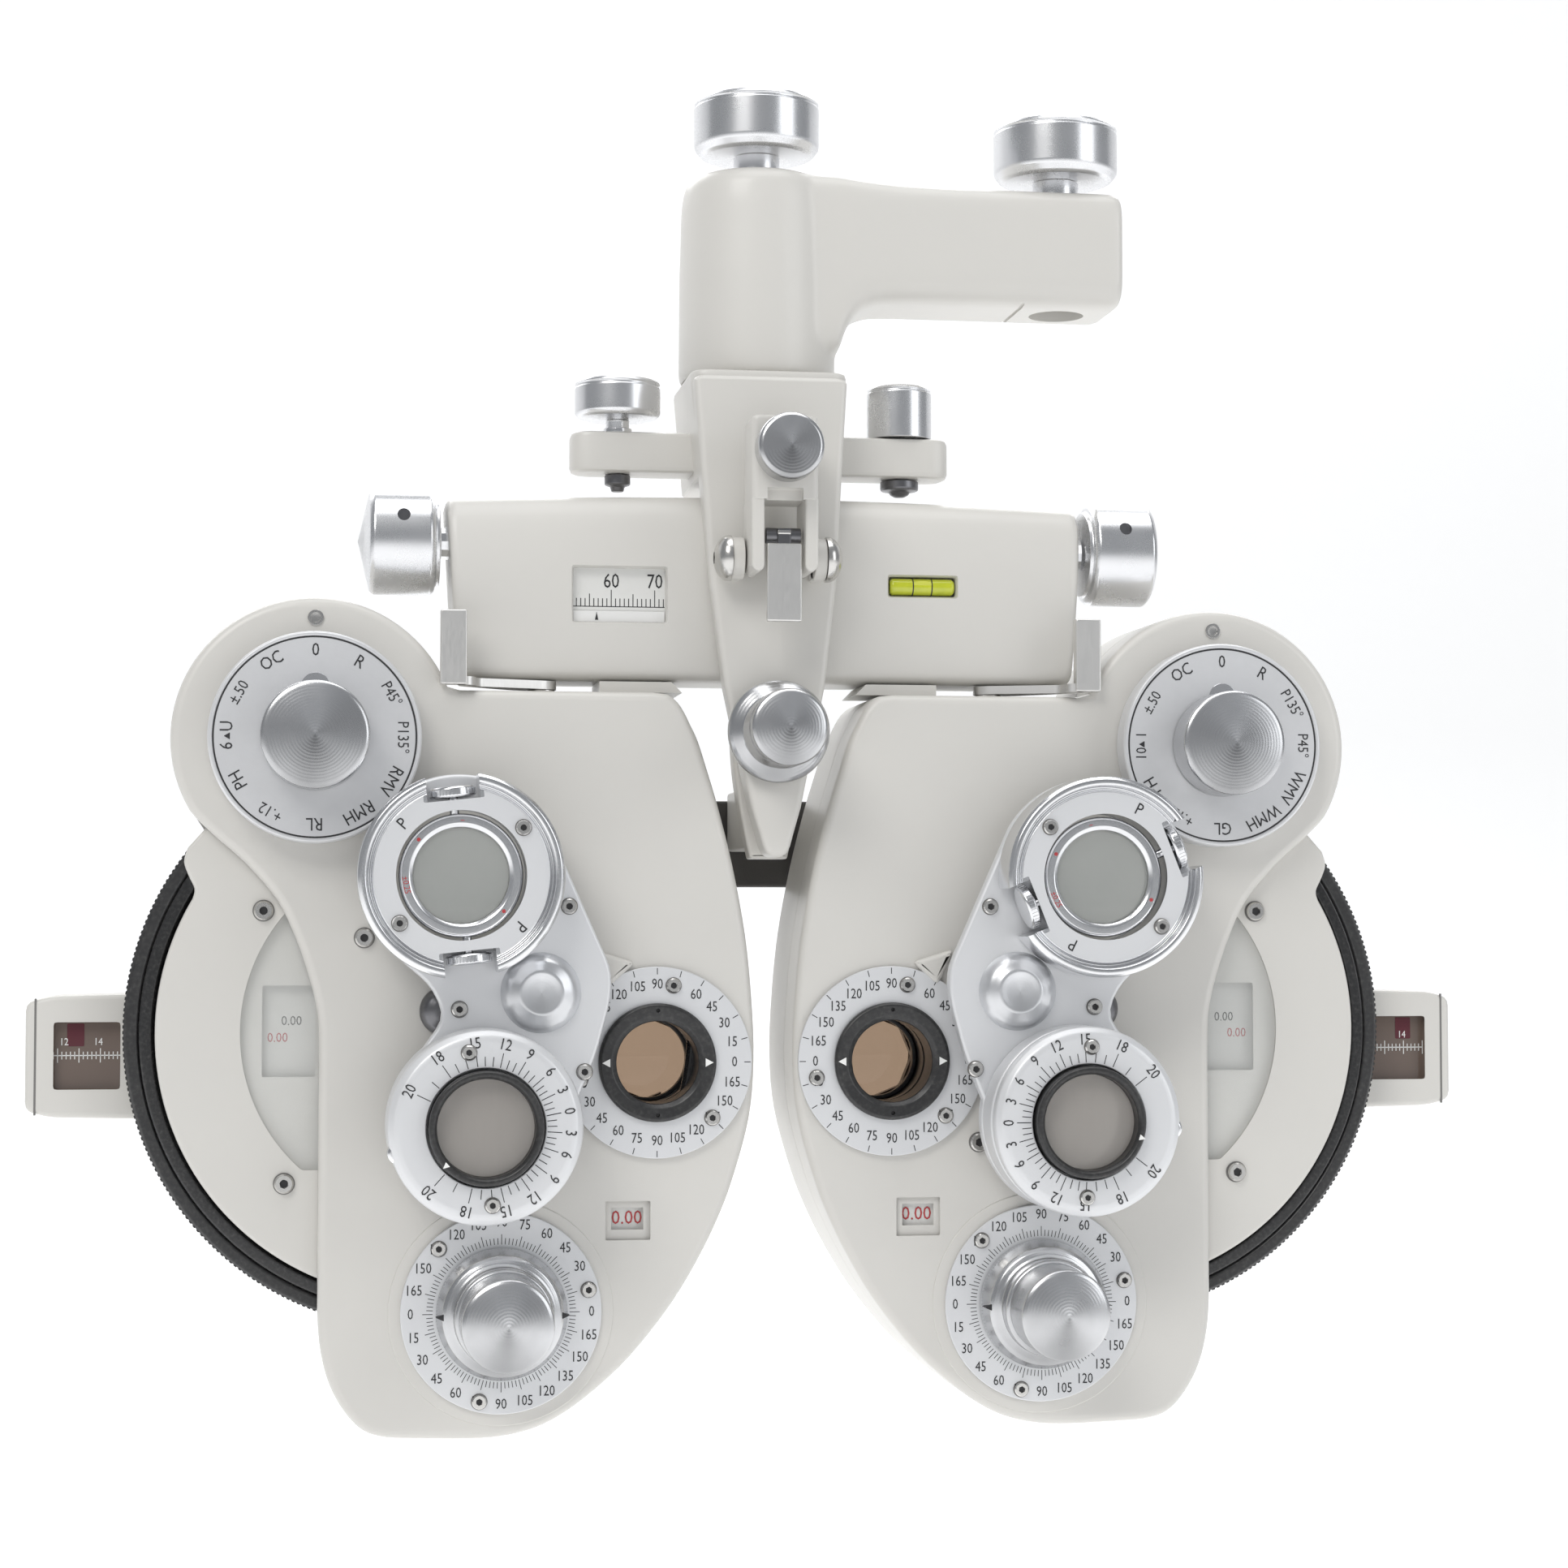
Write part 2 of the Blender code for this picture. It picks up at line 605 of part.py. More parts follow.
def cross_cylinder(tag, side):
    x, z = lobe_origin(side, CROSS_ANGLE)
    middle = (CROSS_FRONT + TURRET_FRONT - GAP) / 2
    origin = (x, middle, z)
    half = (TURRET_FRONT - GAP - CROSS_FRONT) / 2
    profile = [
        (CROSS_BORE, -half + 2.4), (CROSS_R - 3, -half + 1.2), (CROSS_R - 2.2, -half), (CROSS_R - 0.8, -half),
        (CROSS_R, -half + 1), (CROSS_R, half), (CROSS_BORE, half),
    ]
    ring = turned(f"cross_ring_{tag}", profile, satin(), origin, segments=24, ring=True)
    cell_half = CELL_WALL / 2
    profile = [
        (CELL_BORE, -cell_half), (CELL_R - 0.6, -cell_half), (CELL_R, -cell_half + 0.6),
        (CELL_R, cell_half - 0.6), (CELL_R - 0.6, cell_half), (CELL_BORE, cell_half),
    ]
    cell = turned(f"cross_cell_{tag}", profile, turned_metal(), origin, ring=True)
    flip = FLIP_ANGLES[tag]
    wheel_in = CROSS_BORE + 3.0
    wheel_out = wheel_in + 2.6
    for end, turn in (("a", 0), ("b", 180)):
        spindle = [
            (0, CELL_BORE + 1.2), (1.1, CELL_BORE + 1.2), (1.1, wheel_in), (THUMB_R, wheel_in),
            (THUMB_R, wheel_out), (0, wheel_out),
        ]
        shaft = turned(f"join_thumb_{end}_{tag}", spindle, turned_metal(), origin, axis="X", segments=12)
        shaft.rotation_euler.y = -math.radians(flip + turn)
        join(cell, shaft)
        low = (wheel_in - RUN, -half - 1, -THUMB_R - RUN)
        high = (CROSS_R + 1, half + 1, THUMB_R + RUN)
        slot = box(f"cut_slot_{end}_{tag}", low, high, satin(), origin)
        slot.rotation_euler.y = -math.radians(flip + turn)
        cut(ring, slot)
        way = [(0, CROSS_BORE - 2), (1.7, CROSS_BORE - 2), (1.7, wheel_in), (0, wheel_in)]
        bore = turned(f"cut_way_{end}_{tag}", way, satin(), origin, axis="X", segments=8)
        bore.rotation_euler.y = -math.radians(flip + turn)
        cut(ring, bore)


def prism(tag, side):
    x, z = lobe_origin(side, PRISM_ANGLE)
    origin = (x, 0, z)
    back = TURRET_FRONT - GAP
    seat = PRISM_FRONT + 4.4
    profile = [
        (BEZEL_R + RUN, PRISM_FRONT), (PRISM_R - 1.2, PRISM_FRONT), (PRISM_R, PRISM_FRONT + 1.2),
        (PRISM_R, back), (BEZEL_BORE + 0.4, back), (BEZEL_BORE + 0.4, seat), (BEZEL_R + RUN, seat),
    ]
    turned(f"prism_ring_{tag}", profile, satin(), origin, segments=24, ring=True)
    profile = [
        (BEZEL_BORE, BEZEL_FRONT), (BEZEL_R - 0.5, BEZEL_FRONT), (BEZEL_R, BEZEL_FRONT + 0.5),
        (BEZEL_R, seat - GAP), (BEZEL_BORE, seat - GAP),
    ]
    turned(f"prism_bezel_{tag}", profile, black(), origin, ring=True)


def vertex_box(tag, side):
    """Sight box at the temple, through which the distance to the cornea is read."""
    inner = DISC_X + BACK_TEMPLE_R + GAP
    outline = rounded([(inner, -58), (171, -57.5), (177, -56), (177, -30), (171, -28.5), (inner, -28)], 2.5, 2)
    case = plate(f"vertex_box_{tag}", mirrored(outline, side), 19, 38, ivory(), edge=1.0)
    window = rounded([(154, -51.6), (171, -51.6), (171, -34), (154, -34)], 1.5, 2)
    cut(case, plate(f"cut_sight_{tag}", mirrored(window, side), 18, 22, ivory()))


# ---------------------------------------------------------------- bridge


def carriage(tag, side):
    """Slides along the interpupillary screw and carries a battery."""
    flange_top = BRIDGE_BOTTOM - GAP
    low, high = CARRIAGE
    foot = [(low - 4.6, COVER_TOP + 0.4), (high, COVER_TOP + 0.4), (high, flange_top), (low - 2, flange_top)]
    block = plate(f"carriage_{tag}", mirrored(foot, side), 8, 28, ivory())
    depth = CARRIAGE_DEPTH
    edges = sorted((side * low, side * high))
    low = (edges[0], depth[0], flange_top - 1)
    high = (edges[1], depth[1], SCREW_Z + 6.5)
    stem = box(f"join_stem_{tag}", low, high, ivory())
    join(block, stem)
    middle = side * (CARRIAGE[0] + CARRIAGE[1]) / 2
    bore = [(0, middle - 12), (SCREW_R + RUN, middle - 12), (SCREW_R + RUN, middle + 12), (0, middle + 12)]
    cut(block, turned(f"cut_nut_{tag}", bore, ivory(), (0, SCREW_Y, SCREW_Z), axis="X", segments=16))


def bridge_ring(x, half_top, shrink):
    """One cross-section of the bridge, with its bowed front."""
    crown = BRIDGE_TOP + BRIDGE_CROWN * half_top
    front = BRIDGE_FRONT + shrink
    pairs = [
        (BRIDGE_BACK, BRIDGE_BOTTOM + shrink), (front + 5, BRIDGE_BOTTOM + shrink), (front + 1.6, 51.0),
        (front + 0.4, 60.0), (front, 70.0), (front + 0.5, 79.0), (front + 2.2, 86.5), (front + 6, crown - 1.2 - shrink),
        (front + 12, crown - shrink), (BRIDGE_BACK, crown - shrink),
    ]
    return [(x, y, z) for y, z in pairs]


def bridge():
    places = [-BRIDGE_HALF, -BRIDGE_HALF + 1.5, -50, -25, 0, 25, 50, BRIDGE_HALF - 1.5, BRIDGE_HALF]
    rings = []
    for x in places:
        bow = 1 - (x / BRIDGE_HALF) ** 2
        ring = bridge_ring(x, bow, 1.2 if abs(x) == BRIDGE_HALF else 0.0)
        lean = 2.5 / (BRIDGE_TOP - BRIDGE_BOTTOM) if abs(x) > 60 else 0
        rings.append([(px - math.copysign(lean * (BRIDGE_TOP - pz), px), py, pz) for px, py, pz in ring])
    case = loft("pd_housing", rings, ivory())
    wall = BRIDGE_WALL
    low = (-BRIDGE_HALF + wall + 2.5, BRIDGE_FRONT + wall, BRIDGE_BOTTOM + wall)
    high = (BRIDGE_HALF - wall - 2.5, BRIDGE_BACK - wall, BRIDGE_TOP - wall)
    cut(case, box("cut_bridge_hollow", low, high, ivory()))
    for tag, side in SIDES:
        ends = sorted((side * (CARRIAGE[0] - TRAVEL_IN - RUN), side * (CARRIAGE[1] + TRAVEL_OUT + RUN)))
        depth = (CARRIAGE_DEPTH[0] - RUN, CARRIAGE_DEPTH[1] + RUN)
        low = (ends[0], depth[0], BRIDGE_BOTTOM - 1)
        high = (ends[1], depth[1], BRIDGE_BOTTOM + wall + 1)
        cut(case, box(f"cut_run_{tag}", low, high, ivory()))
    bore = SCREW_R + RUN
    through = [(0, -BRIDGE_HALF - 5), (bore, -BRIDGE_HALF - 5), (bore, BRIDGE_HALF + 5), (0, BRIDGE_HALF + 5)]
    cut(case, turned("cut_screw_way", through, ivory(), (0, SCREW_Y, SCREW_Z), axis="X", segments=16))
    for label, window in (("scale", PD_WINDOW), ("vial", VIAL_WINDOW)):
        low = (window[0], BRIDGE_FRONT - 2, window[2])
        high = (window[1], BRIDGE_FRONT + wall + 0.5, window[3])
        cut(case, box(f"cut_{label}_window", low, high, ivory()))


def interpupillary_drive():
    end = BRIDGE_HALF + 1
    profile = [(0, -end), (SCREW_R, -end), (SCREW_R, end), (0, end)]
    turned("pd_screw", profile, steel(), (0, SCREW_Y, SCREW_Z), axis="X", segments=12)
    for tag, side in SIDES:
        start = BRIDGE_HALF + 1.5
        face = start + PD_KNOB_LENGTH
        profile = [
            (0, side * start), (PD_KNOB_R - 1.2, side * start), (PD_KNOB_R, side * (start + 1.2)),
            (PD_KNOB_R, side * (face - 1)), (PD_KNOB_R - 1, side * face), (0, side * (face + 2.6)),
        ]
        turned(f"pd_knob_{tag}", profile, turned_metal(), (0, SCREW_Y, SCREW_Z), axis="X")


def bridge_fittings():
    low_x, high_x, low_z, high_z = PD_WINDOW
    front = BRIDGE_FRONT + BRIDGE_WALL + RUN
    box("pd_scale_plate", (low_x - 4, front, low_z - 2.5), (high_x + 11, front + 1.2, high_z + 1.6), satin())
    low_x, high_x, low_z, high_z = VIAL_WINDOW
    middle = (low_z + high_z) / 2
    radius = (high_z - low_z) / 2 - GAP
    start, end = low_x + GAP, high_x - GAP
    profile = [(0, start), (radius, start), (radius, end), (0, end)]
    centre = (0, BRIDGE_FRONT + radius + 0.2, middle)
    turned("level_vial", profile, clear(), centre, axis="X", segments=16)


def convergence_lever(tag, side):
    """A flat arm under the bridge with a finger tab turned up in front of it."""
    top = BRIDGE_BOTTOM - GAP
    bottom = top - LEVER_WALL
    x, y = LEVER_PIVOT_X, LEVER_PIVOT_Y
    tab_back = -LEVER_TAB_GAP
    tab_front = tab_back - LEVER_TAB_WALL
    eye = [(x + 6, y + 2.4), (x + 2, y + 3.6), (x - 1.5, y + 3.4), (x - 3.6, y + 1.5), (x - 3.6, y - 1.5), (x - 1, y - 4)]
    root = LEVER_TIP_X - 5.0
    corners = eye + [(root - 3.5, 1.5), (root - 1.0, tab_front + 1), (root, tab_front + 1), (root, 2.5)]
    origin = (side * x, y, 0)
    rings = [[(side * cx - side * x, cy - y, level) for cx, cy in corners] for level in (bottom, top)]
    lever = loft(f"convergence_lever_{tag}", rings, satin(), origin)
    ends = sorted((side * (LEVER_TIP_X - LEVER_TAB_WIDTH - x), side * (LEVER_TIP_X - x)))
    low = (ends[0], tab_front - y, bottom)
    high = (ends[1], tab_back - y, LEVER_HEIGHT)
    tab = box(f"join_tab_{tag}", low, high, satin(), origin)
    join(lever, tab)


# ---------------------------------------------------------------- yoke and rest


def yoke():
    top_block = [
        [(x, y, z) for x, y in section((-half, half), (front, POST_Y + BOSS_R - 1), 5)]
        for z, half, front in ((97.5, 17.2, 3.0), (YOKE_TOP - 1, 19.4, 5.2), (YOKE_TOP, 18.6, 6.0))
    ]
    made = loft("yoke", top_block, ivory())
    sections = (
        (YOKE_TIP, 2.6, -4.6, 4.0), (YOKE_TIP + 2.5, 4.0, -5.0, 5.6), (24.0, 7.3, -4.0, 5.9), (46.0, 12.3, -1.8, 5.9),
        (72.0, 15.6, 0.4, 5.9), (98.5, 17.3, 2.7, 5.9),
    )
    blade = [
        [(x, y, z) for x, y in section((-half, half), (front, back), 1.6, 2)] for z, half, front, back in sections
    ]
    join(made, loft("join_blade", blade, ivory()))
    half = CROSS_BAR_HALF
    bar = [[(x, y, z) for x, y in section((-half, half), (18.5, 31.5), 6, 4)] for z in CROSS_BAR]
    join(made, loft("join_cross_bar", bar, ivory()))
    for tag, side in SIDES:
        ends = sorted((side * (ROD_HALF + RUN), side * (ROD_HALF + 3.4)))
        low = (ends[0], ROD_PIVOT_Y - 4.5, ROD_PIVOT_Z - 5)
        high = (ends[1], 3, ROD_PIVOT_Z + 5)
        join(made, box(f"join_ear_{tag}", low, high, ivory()))
        hole = [(0, 0), (2.9, 0), (2.9, 30), (0, 30)]
        if side < 0:
            cutter = turned("cut_level_way", hole, ivory(), (-LEVEL_X, POST_Y - 5, 90), axis="Z", segments=12)
        else:
            hole = [(0, 0), (5.2, 0), (5.2, 30), (0, 30)]
            cutter = turned("cut_plunger_way", hole, ivory(), (LEVEL_X, POST_Y - 5, 90), axis="Z", segments=16)
        cut(made, cutter)
    way = [(0, -12), (3.7, -12), (3.7, 9), (0, 9)]
    cut(made, turned("cut_rest_way", way, ivory(), (0, 0, REST_Z), segments=12))


def levelling():
    top = CROSS_BAR[1]
    y = POST_Y - 5
    profile = [
        (0, LEVEL_TIP), (1.6, LEVEL_TIP), (2.4, LEVEL_TIP + 2.5), (2.4, top + 3.5), (9.6, top + 4.0), (10.6, top + 5.0),
        (10.6, top + 12.6), (9.8, top + 13.5), (0, top + 13.5),
    ]
    turned("leveling_screw", profile, turned_metal(), (-LEVEL_X, y, 0), axis="Z")
    profile = [
        (0, LEVEL_TIP), (2.6, LEVEL_TIP + 0.5), (4.7, LEVEL_TIP + 3.0), (4.7, top + GAP), (8.1, top + GAP),
        (8.1, top + 12.6), (7.3, top + 13.4), (0, top + 13.4),
    ]
    turned("spring_plunger", profile, turned_metal(), (LEVEL_X, y, 0), axis="Z")


def rod_holder():
    y, z = ROD_PIVOT_Y, ROD_PIVOT_Z
    half = ROD_HALF
    low_z, high_z = z - 4.5, ROD_TOP
    body = [
        [(px, py, level) for px, py in section((-width, width), (ROD_FRONT, back), 1.5, 2)]
        for level, width, back in ((88.9, half, -4.0), (high_z - 1.5, half, -4.0), (high_z, half - 1.2, -5.2))
    ]
    shifted = [[(px, py - y, pz - z) for px, py, pz in ring] for ring in body]
    origin = (0, y, z)
    bracket = loft("rod_bracket", shifted, ivory(), origin)
    for tag, side in SIDES:
        ends = sorted((side * 4.9, side * half))
        low = (ends[0], ROD_FRONT + 1 - y, low_z - z)
        high = (ends[1], -3.4 - y, 90 - z)
        join(bracket, box(f"join_finger_{tag}", low, high, ivory(), origin))
    low, high = (-3.6, -14.4 - y, 91.5 - z), (3.6, -7.2 - y, high_z + 5 - z)
    cut(bracket, box("cut_rod_socket", low, high, ivory(), origin))
    seat = ROD_FRONT - GAP
    profile = [
        (0, seat), (3.2, seat), (3.2, seat - 2.2), (ROD_KNOB_R - 0.6, seat - 2.4), (ROD_KNOB_R, seat - 3.0),
        (ROD_KNOB_R, seat - 9.0), (ROD_KNOB_R - 0.7, seat - 9.7), (0, seat - 10.4),
    ]
    turned("rod_clamp_knob", profile, turned_metal(), (0, 0, ROD_KNOB_Z))
    lever = [(-4.2, 60), (4.2, 60), (4.2, 82.4), (-4.2, 82.4)]
    lever = [(px, pz - 81.0) for px, pz in lever]
    tongue = plate("rod_release_lever", lever, -16.4 + 13, -12.4 + 13, steel(), (0, -13, 81.0))
    barrel = [(0, -4.2), (2.0, -4.2), (2.0, 4.2), (0, 4.2)]
    join(tongue, turned("join_barrel", barrel, steel(), (0, -11.6, 80.6), axis="X", segments=12))


def forehead_rest():
    front = 9.0
    face = [(-9, 41), (-8.4, 24), (-4.6, 4), (4.6, 4), (8.4, 24), (9, 41)]
    slide = plate("forehead_slide", face, front, front + 6, ivory())
    join(slide, box("join_rest_bar", (-5, front + 3, 7), (5, REST_PAD_FRONT - GAP, 22), ivory()))
    bottom, top = REST_PAD_Z
    wide, narrow = REST_PAD_HALF, REST_PAD_HALF - REST_PAD_CORNER
    low, high = bottom + REST_PAD_CORNER, top - REST_PAD_CORNER
    right = [(narrow, bottom), (wide, low), (wide, high), (narrow, top)]
    pad = rounded(right + [(-x, z) for x, z in reversed(right)], 3, 2)
    plate("forehead_pad", pad, REST_PAD_FRONT, REST_PAD_FRONT + REST_PAD_DEPTH, black())
    profile = [
        (0, front - RUN), (3.2, front - RUN), (3.2, -5.6), (REST_KNOB_R, -5.6), (REST_KNOB_R, -8.5), (10.6, -9.4),
        (8.2, -12.0), (7.6, -19.5), (9.15, -20.5), (9.15, -24.6), (8.5, -25.3), (0, -27.2),
    ]
    turned("forehead_knob", profile, turned_metal(), (0, 0, REST_Z))


# ---------------------------------------------------------------- hanger arm


def hanger_arm():
    profile = [
        (0, BOSS_BOTTOM), (BOSS_R - 0.8, BOSS_BOTTOM), (BOSS_R, BOSS_BOTTOM + 0.8), (BOSS_R - 0.6, 168),
        (BOSS_R - 1.6, 174), (BOSS_R - 4.2, 176), (0, 176.4),
    ]
    boss = turned("hanger_arm", profile, ivory(), (0, POST_Y, 0), axis="Z", segments=28)
    stations = (
        (4.0, 131.0, 175.6, 14.0), (18.0, 132.0, 175.4, 15.0), (22.0, 137.0, 175.0, 15.2), (29.0, 142.0, 174.6, 15.4),
        (40.0, ARM_BOTTOM, ARM_TOP, ARM_HALF_DEPTH), (ARM_END - 3.0, ARM_BOTTOM, ARM_TOP, ARM_HALF_DEPTH),
        (ARM_END - 0.8, ARM_BOTTOM + 0.9, ARM_TOP - 0.9, ARM_HALF_DEPTH - 0.9),
        (ARM_END, ARM_BOTTOM + 3.0, ARM_TOP - 3.0, ARM_HALF_DEPTH - 3.0),
    )
    rings = [
        [(x, y, z) for y, z in section((-depth, depth), (low, high), 5)] for x, low, high, depth in stations
    ]
    join(boss, loft("join_arm", rings, ivory(), (0, POST_Y, 0)))
    top = ARM_BOTTOM + STAND_DEPTH
    socket = [(0, ARM_BOTTOM - 3), (STAND_R, ARM_BOTTOM - 3), (STAND_R, top), (0, top)]
    cut(boss, turned("cut_stand_socket", socket, ivory(), (STAND_X, POST_Y, 0), axis="Z", segments=20))


def clamp_knob(name, x, seat, neck):
    bottom = seat + neck
    top = bottom + CLAMP_HEIGHT
    profile = [
        (0, seat), (5.8, seat), (5.8, bottom), (CLAMP_R - 2.5, bottom + 0.2), (CLAMP_R, bottom + 2.4),
        (CLAMP_R, top - 1), (CLAMP_R - 1, top), (0, top),
    ]
    turned(name, profile, turned_metal(), (x, POST_Y, 0), axis="Z")


def main():
    for old in list(bpy.data.objects):
        bpy.data.objects.remove(old, do_unlink=True)
    for tag, side in SIDES:
        front_cover(tag, side)
        back_cover(tag, side)
        side_cover(tag, side)
        lens_discs(tag, side)
        auxiliary_dial(tag, side)
        aperture(tag, side)
        axis_dial(tag, side)
        turret(tag, side)
        cross_cylinder(tag, side)
        prism(tag, side)
        vertex_box(tag, side)
        carriage(tag, side)
        convergence_lever(tag, side)
    bridge()
    interpupillary_drive()
    bridge_fittings()
    yoke()
    levelling()
    rod_holder()
    forehead_rest()
    hanger_arm()
    clamp_knob("swivel_clamp_knob", 0, 176.4 + GAP, 5.3)
    clamp_knob("arm_clamp_knob", STAND_X, ARM_TOP + GAP, 4.0)


main()
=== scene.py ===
import math

import bmesh
import bpy
from mathutils import Matrix, Vector
from mathutils.geometry import tessellate_polygon

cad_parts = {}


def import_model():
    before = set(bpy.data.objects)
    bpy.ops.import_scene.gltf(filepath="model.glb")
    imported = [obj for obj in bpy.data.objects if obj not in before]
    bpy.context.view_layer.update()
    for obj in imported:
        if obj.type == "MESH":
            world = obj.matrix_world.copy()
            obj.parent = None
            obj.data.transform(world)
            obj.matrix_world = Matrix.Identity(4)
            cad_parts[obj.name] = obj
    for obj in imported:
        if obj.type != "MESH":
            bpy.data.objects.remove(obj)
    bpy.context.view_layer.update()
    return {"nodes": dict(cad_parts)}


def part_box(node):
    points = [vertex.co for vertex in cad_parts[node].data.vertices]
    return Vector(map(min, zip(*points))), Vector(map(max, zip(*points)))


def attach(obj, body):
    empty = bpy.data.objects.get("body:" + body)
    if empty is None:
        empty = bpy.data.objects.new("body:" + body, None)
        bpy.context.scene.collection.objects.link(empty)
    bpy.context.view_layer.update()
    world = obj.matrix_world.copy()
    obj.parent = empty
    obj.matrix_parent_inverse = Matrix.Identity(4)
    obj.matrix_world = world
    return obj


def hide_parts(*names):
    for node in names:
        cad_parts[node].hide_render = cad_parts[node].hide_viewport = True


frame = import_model()
print("frame loaded:", len(frame["nodes"]), "nodes")

mm = 0.001
bridgeLow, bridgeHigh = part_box("pd_housing")
bridgeFront = 6.5     # of the housing, behind the front of the covers
bridgeBottom = 47.5
plan = Vector(((bridgeLow.x + bridgeHigh.x) / 2, bridgeLow.y - bridgeFront * mm,
               bridgeLow.z - bridgeBottom * mm))
sides = (("left", -1), ("right", 1))


def span(node):
    # lowest and highest corner of a CAD node, in plan millimetres
    low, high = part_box(node)
    return (low - plan) / mm, (high - plan) / mm


def roundNode(node, along="Y"):
    # corners of a round CAD node, its axis and its radius
    low, high = span(node)
    axis = (low + high) / 2
    axis["XYZ".index(along)] = 0.0
    return low, high, axis, (high.z - low.z if along == "X" else high.x - low.x) / 2


def world(place):
    # a place of the plan, in the frame's metres
    return Vector(place) * mm + plan


# ---- node trees ----

class Signal:
    # one output socket that can stand in a sum

    def __init__(self, tree, socket):
        self.tree = tree
        self.socket = socket

    def maths(self, operation, first, second=0.0):
        made = self.tree.node("ShaderNodeMath", {"operation": operation}, {0: first, 1: second})
        return Signal(self.tree, made.outputs[0])

    def __add__(self, other):
        return self.maths("ADD", self, other)

    __radd__ = __add__

    def __sub__(self, other):
        return self.maths("SUBTRACT", self, other)

    def __rsub__(self, other):
        return self.maths("SUBTRACT", other, self)

    def __mul__(self, other):
        return self.maths("MULTIPLY", self, other)

    __rmul__ = __mul__

    def __truediv__(self, other):
        return self.maths("DIVIDE", self, other)

    def __pow__(self, other):
        return self.maths("POWER", self, other)

    def __neg__(self):
        return self.maths("MULTIPLY", self, -1.0)

    def sine(self):
        return self.maths("SINE", self)

    def cosine(self):
        return self.maths("COSINE", self)

    def above(self, limit):
        return self.maths("GREATER_THAN", self, limit)

    def modulo(self, step):
        return self.maths("FLOORED_MODULO", self, step)


class Tree:
    # a material's or a modifier's node tree

    def __init__(self, tree):
        self.tree = tree

    def node(self, kind, settings=None, values=None):
        made = self.tree.nodes.new(kind)
        for name, value in (settings or {}).items():
            setattr(made, name, value)
        for name, value in (values or {}).items():
            self.feed(made.inputs[name], value)
        return made

    def feed(self, socket, value):
        if isinstance(value, Signal):
            self.tree.links.new(value.socket, socket)
        elif isinstance(value, bpy.types.NodeSocket):
            self.tree.links.new(value, socket)
        else:
            socket.default_value = value


class Look(Tree):
    # a Principled material whose texture space is the object's own, in millimetres

    def __init__(self, name, colour, roughness, metallic=0.0, **fixed):
        self.material = bpy.data.materials.new(name)
        self.material.use_nodes = True
        super().__init__(self.material.node_tree)
        self.shader = self.tree.nodes["Principled BSDF"]
        self.colour = colour
        self.feed(self.shader.inputs["Base Color"], (*colour, 1.0))
        self.feed(self.shader.inputs["Roughness"], roughness)
        self.feed(self.shader.inputs["Metallic"], metallic)
        for key, value in fixed.items():
            self.shader.inputs[key.replace("_", " ")].default_value = value

    def space(self):
        # object coordinates in millimetres
        place = self.node("ShaderNodeTexCoord").outputs["Object"]
        return self.node("ShaderNodeVectorMath", {"operation": "SCALE"},
                         {0: place, "Scale": 1 / mm}).outputs[0]

    def noise(self, perMm, detail=2.0, stretch=None):
        vector = self.space()
        if stretch:
            vector = self.node("ShaderNodeVectorMath", {"operation": "MULTIPLY"},
                               {0: vector, 1: stretch}).outputs[0]
        made = self.node("ShaderNodeTexNoise", None, {"Vector": vector, "Scale": perMm, "Detail": detail})
        return Signal(self, made.outputs[0])

    def away(self, centre):
        # from a point in the world to the surface, in millimetres
        return self.node("ShaderNodeVectorMath", {"operation": "SUBTRACT"},
                         {0: self.space(), 1: Vector(centre) / mm})

    def upward(self, centre, radius):
        # 1 straight above an axis along Y, -1 straight below it
        parts = self.node("ShaderNodeSeparateXYZ", None, {0: self.away(centre).outputs[0]})
        return Signal(self, parts.outputs["Z"]) / radius

    def axisDistance(self, centre, along):
        # millimetres from an axis through centre, which runs along X, Y or Z
        offset = self.away(centre)
        flat = [1.0, 1.0, 1.0]
        flat["XYZ".index(along)] = 0.0
        flat = self.node("ShaderNodeVectorMath", {"operation": "MULTIPLY"}, {0: offset.outputs[0], 1: flat})
        length = self.node("ShaderNodeVectorMath", {"operation": "LENGTH"}, {0: flat.outputs[0]})
        return Signal(self, length.outputs["Value"])

    def tint(self, factor, other):
        # the base colour drifts to another one
        mixed = self.node("ShaderNodeMix", {"data_type": "RGBA", "clamp_factor": True})
        self.feed(mixed.inputs[0], factor)
        self.feed(mixed.inputs[6], (*self.colour, 1.0))
        self.feed(mixed.inputs[7], (*other, 1.0))
        self.feed(self.shader.inputs["Base Color"], mixed.outputs[2])

    def rough(self, value):
        self.feed(self.shader.inputs["Roughness"], value)

    def bump(self, height, depth):
        # depth in millimetres of a height that runs from 0 to 1
        made = self.node("ShaderNodeBump", None,
                         {"Strength": 1.0, "Distance": depth * mm, "Height": height})
        self.feed(self.shader.inputs["Normal"], made.outputs["Normal"])


def ivoryPaint():
    look = Look("ivoryPaint", (0.650, 0.635, 0.600), 0.42, Coat_Weight=0.22, Coat_Roughness=0.22)
    cloud = look.noise(0.035, 3.0)
    grain = look.noise(1.6, 3.0)
    speck = look.noise(0.55, 4.0)
    look.tint(cloud * 0.55 + speck * 0.12, (0.600, 0.588, 0.562))
    look.rough(0.33 + cloud * 0.14 + grain * 0.05)
    look.bump(grain * 0.8 + speck * 0.6, 0.012)
    return look.material


def satinSilver():
    look = Look("satinSilver", (0.720, 0.727, 0.740), 0.36, 0.35)
    cloud = look.noise(0.06, 3.0)
    blast = look.noise(4.5, 2.0)
    look.tint(cloud * 0.5 + blast * 0.12, (0.660, 0.668, 0.688))
    look.rough(0.30 + cloud * 0.10 + blast * 0.10)
    look.bump(blast, 0.010)
    return look.material


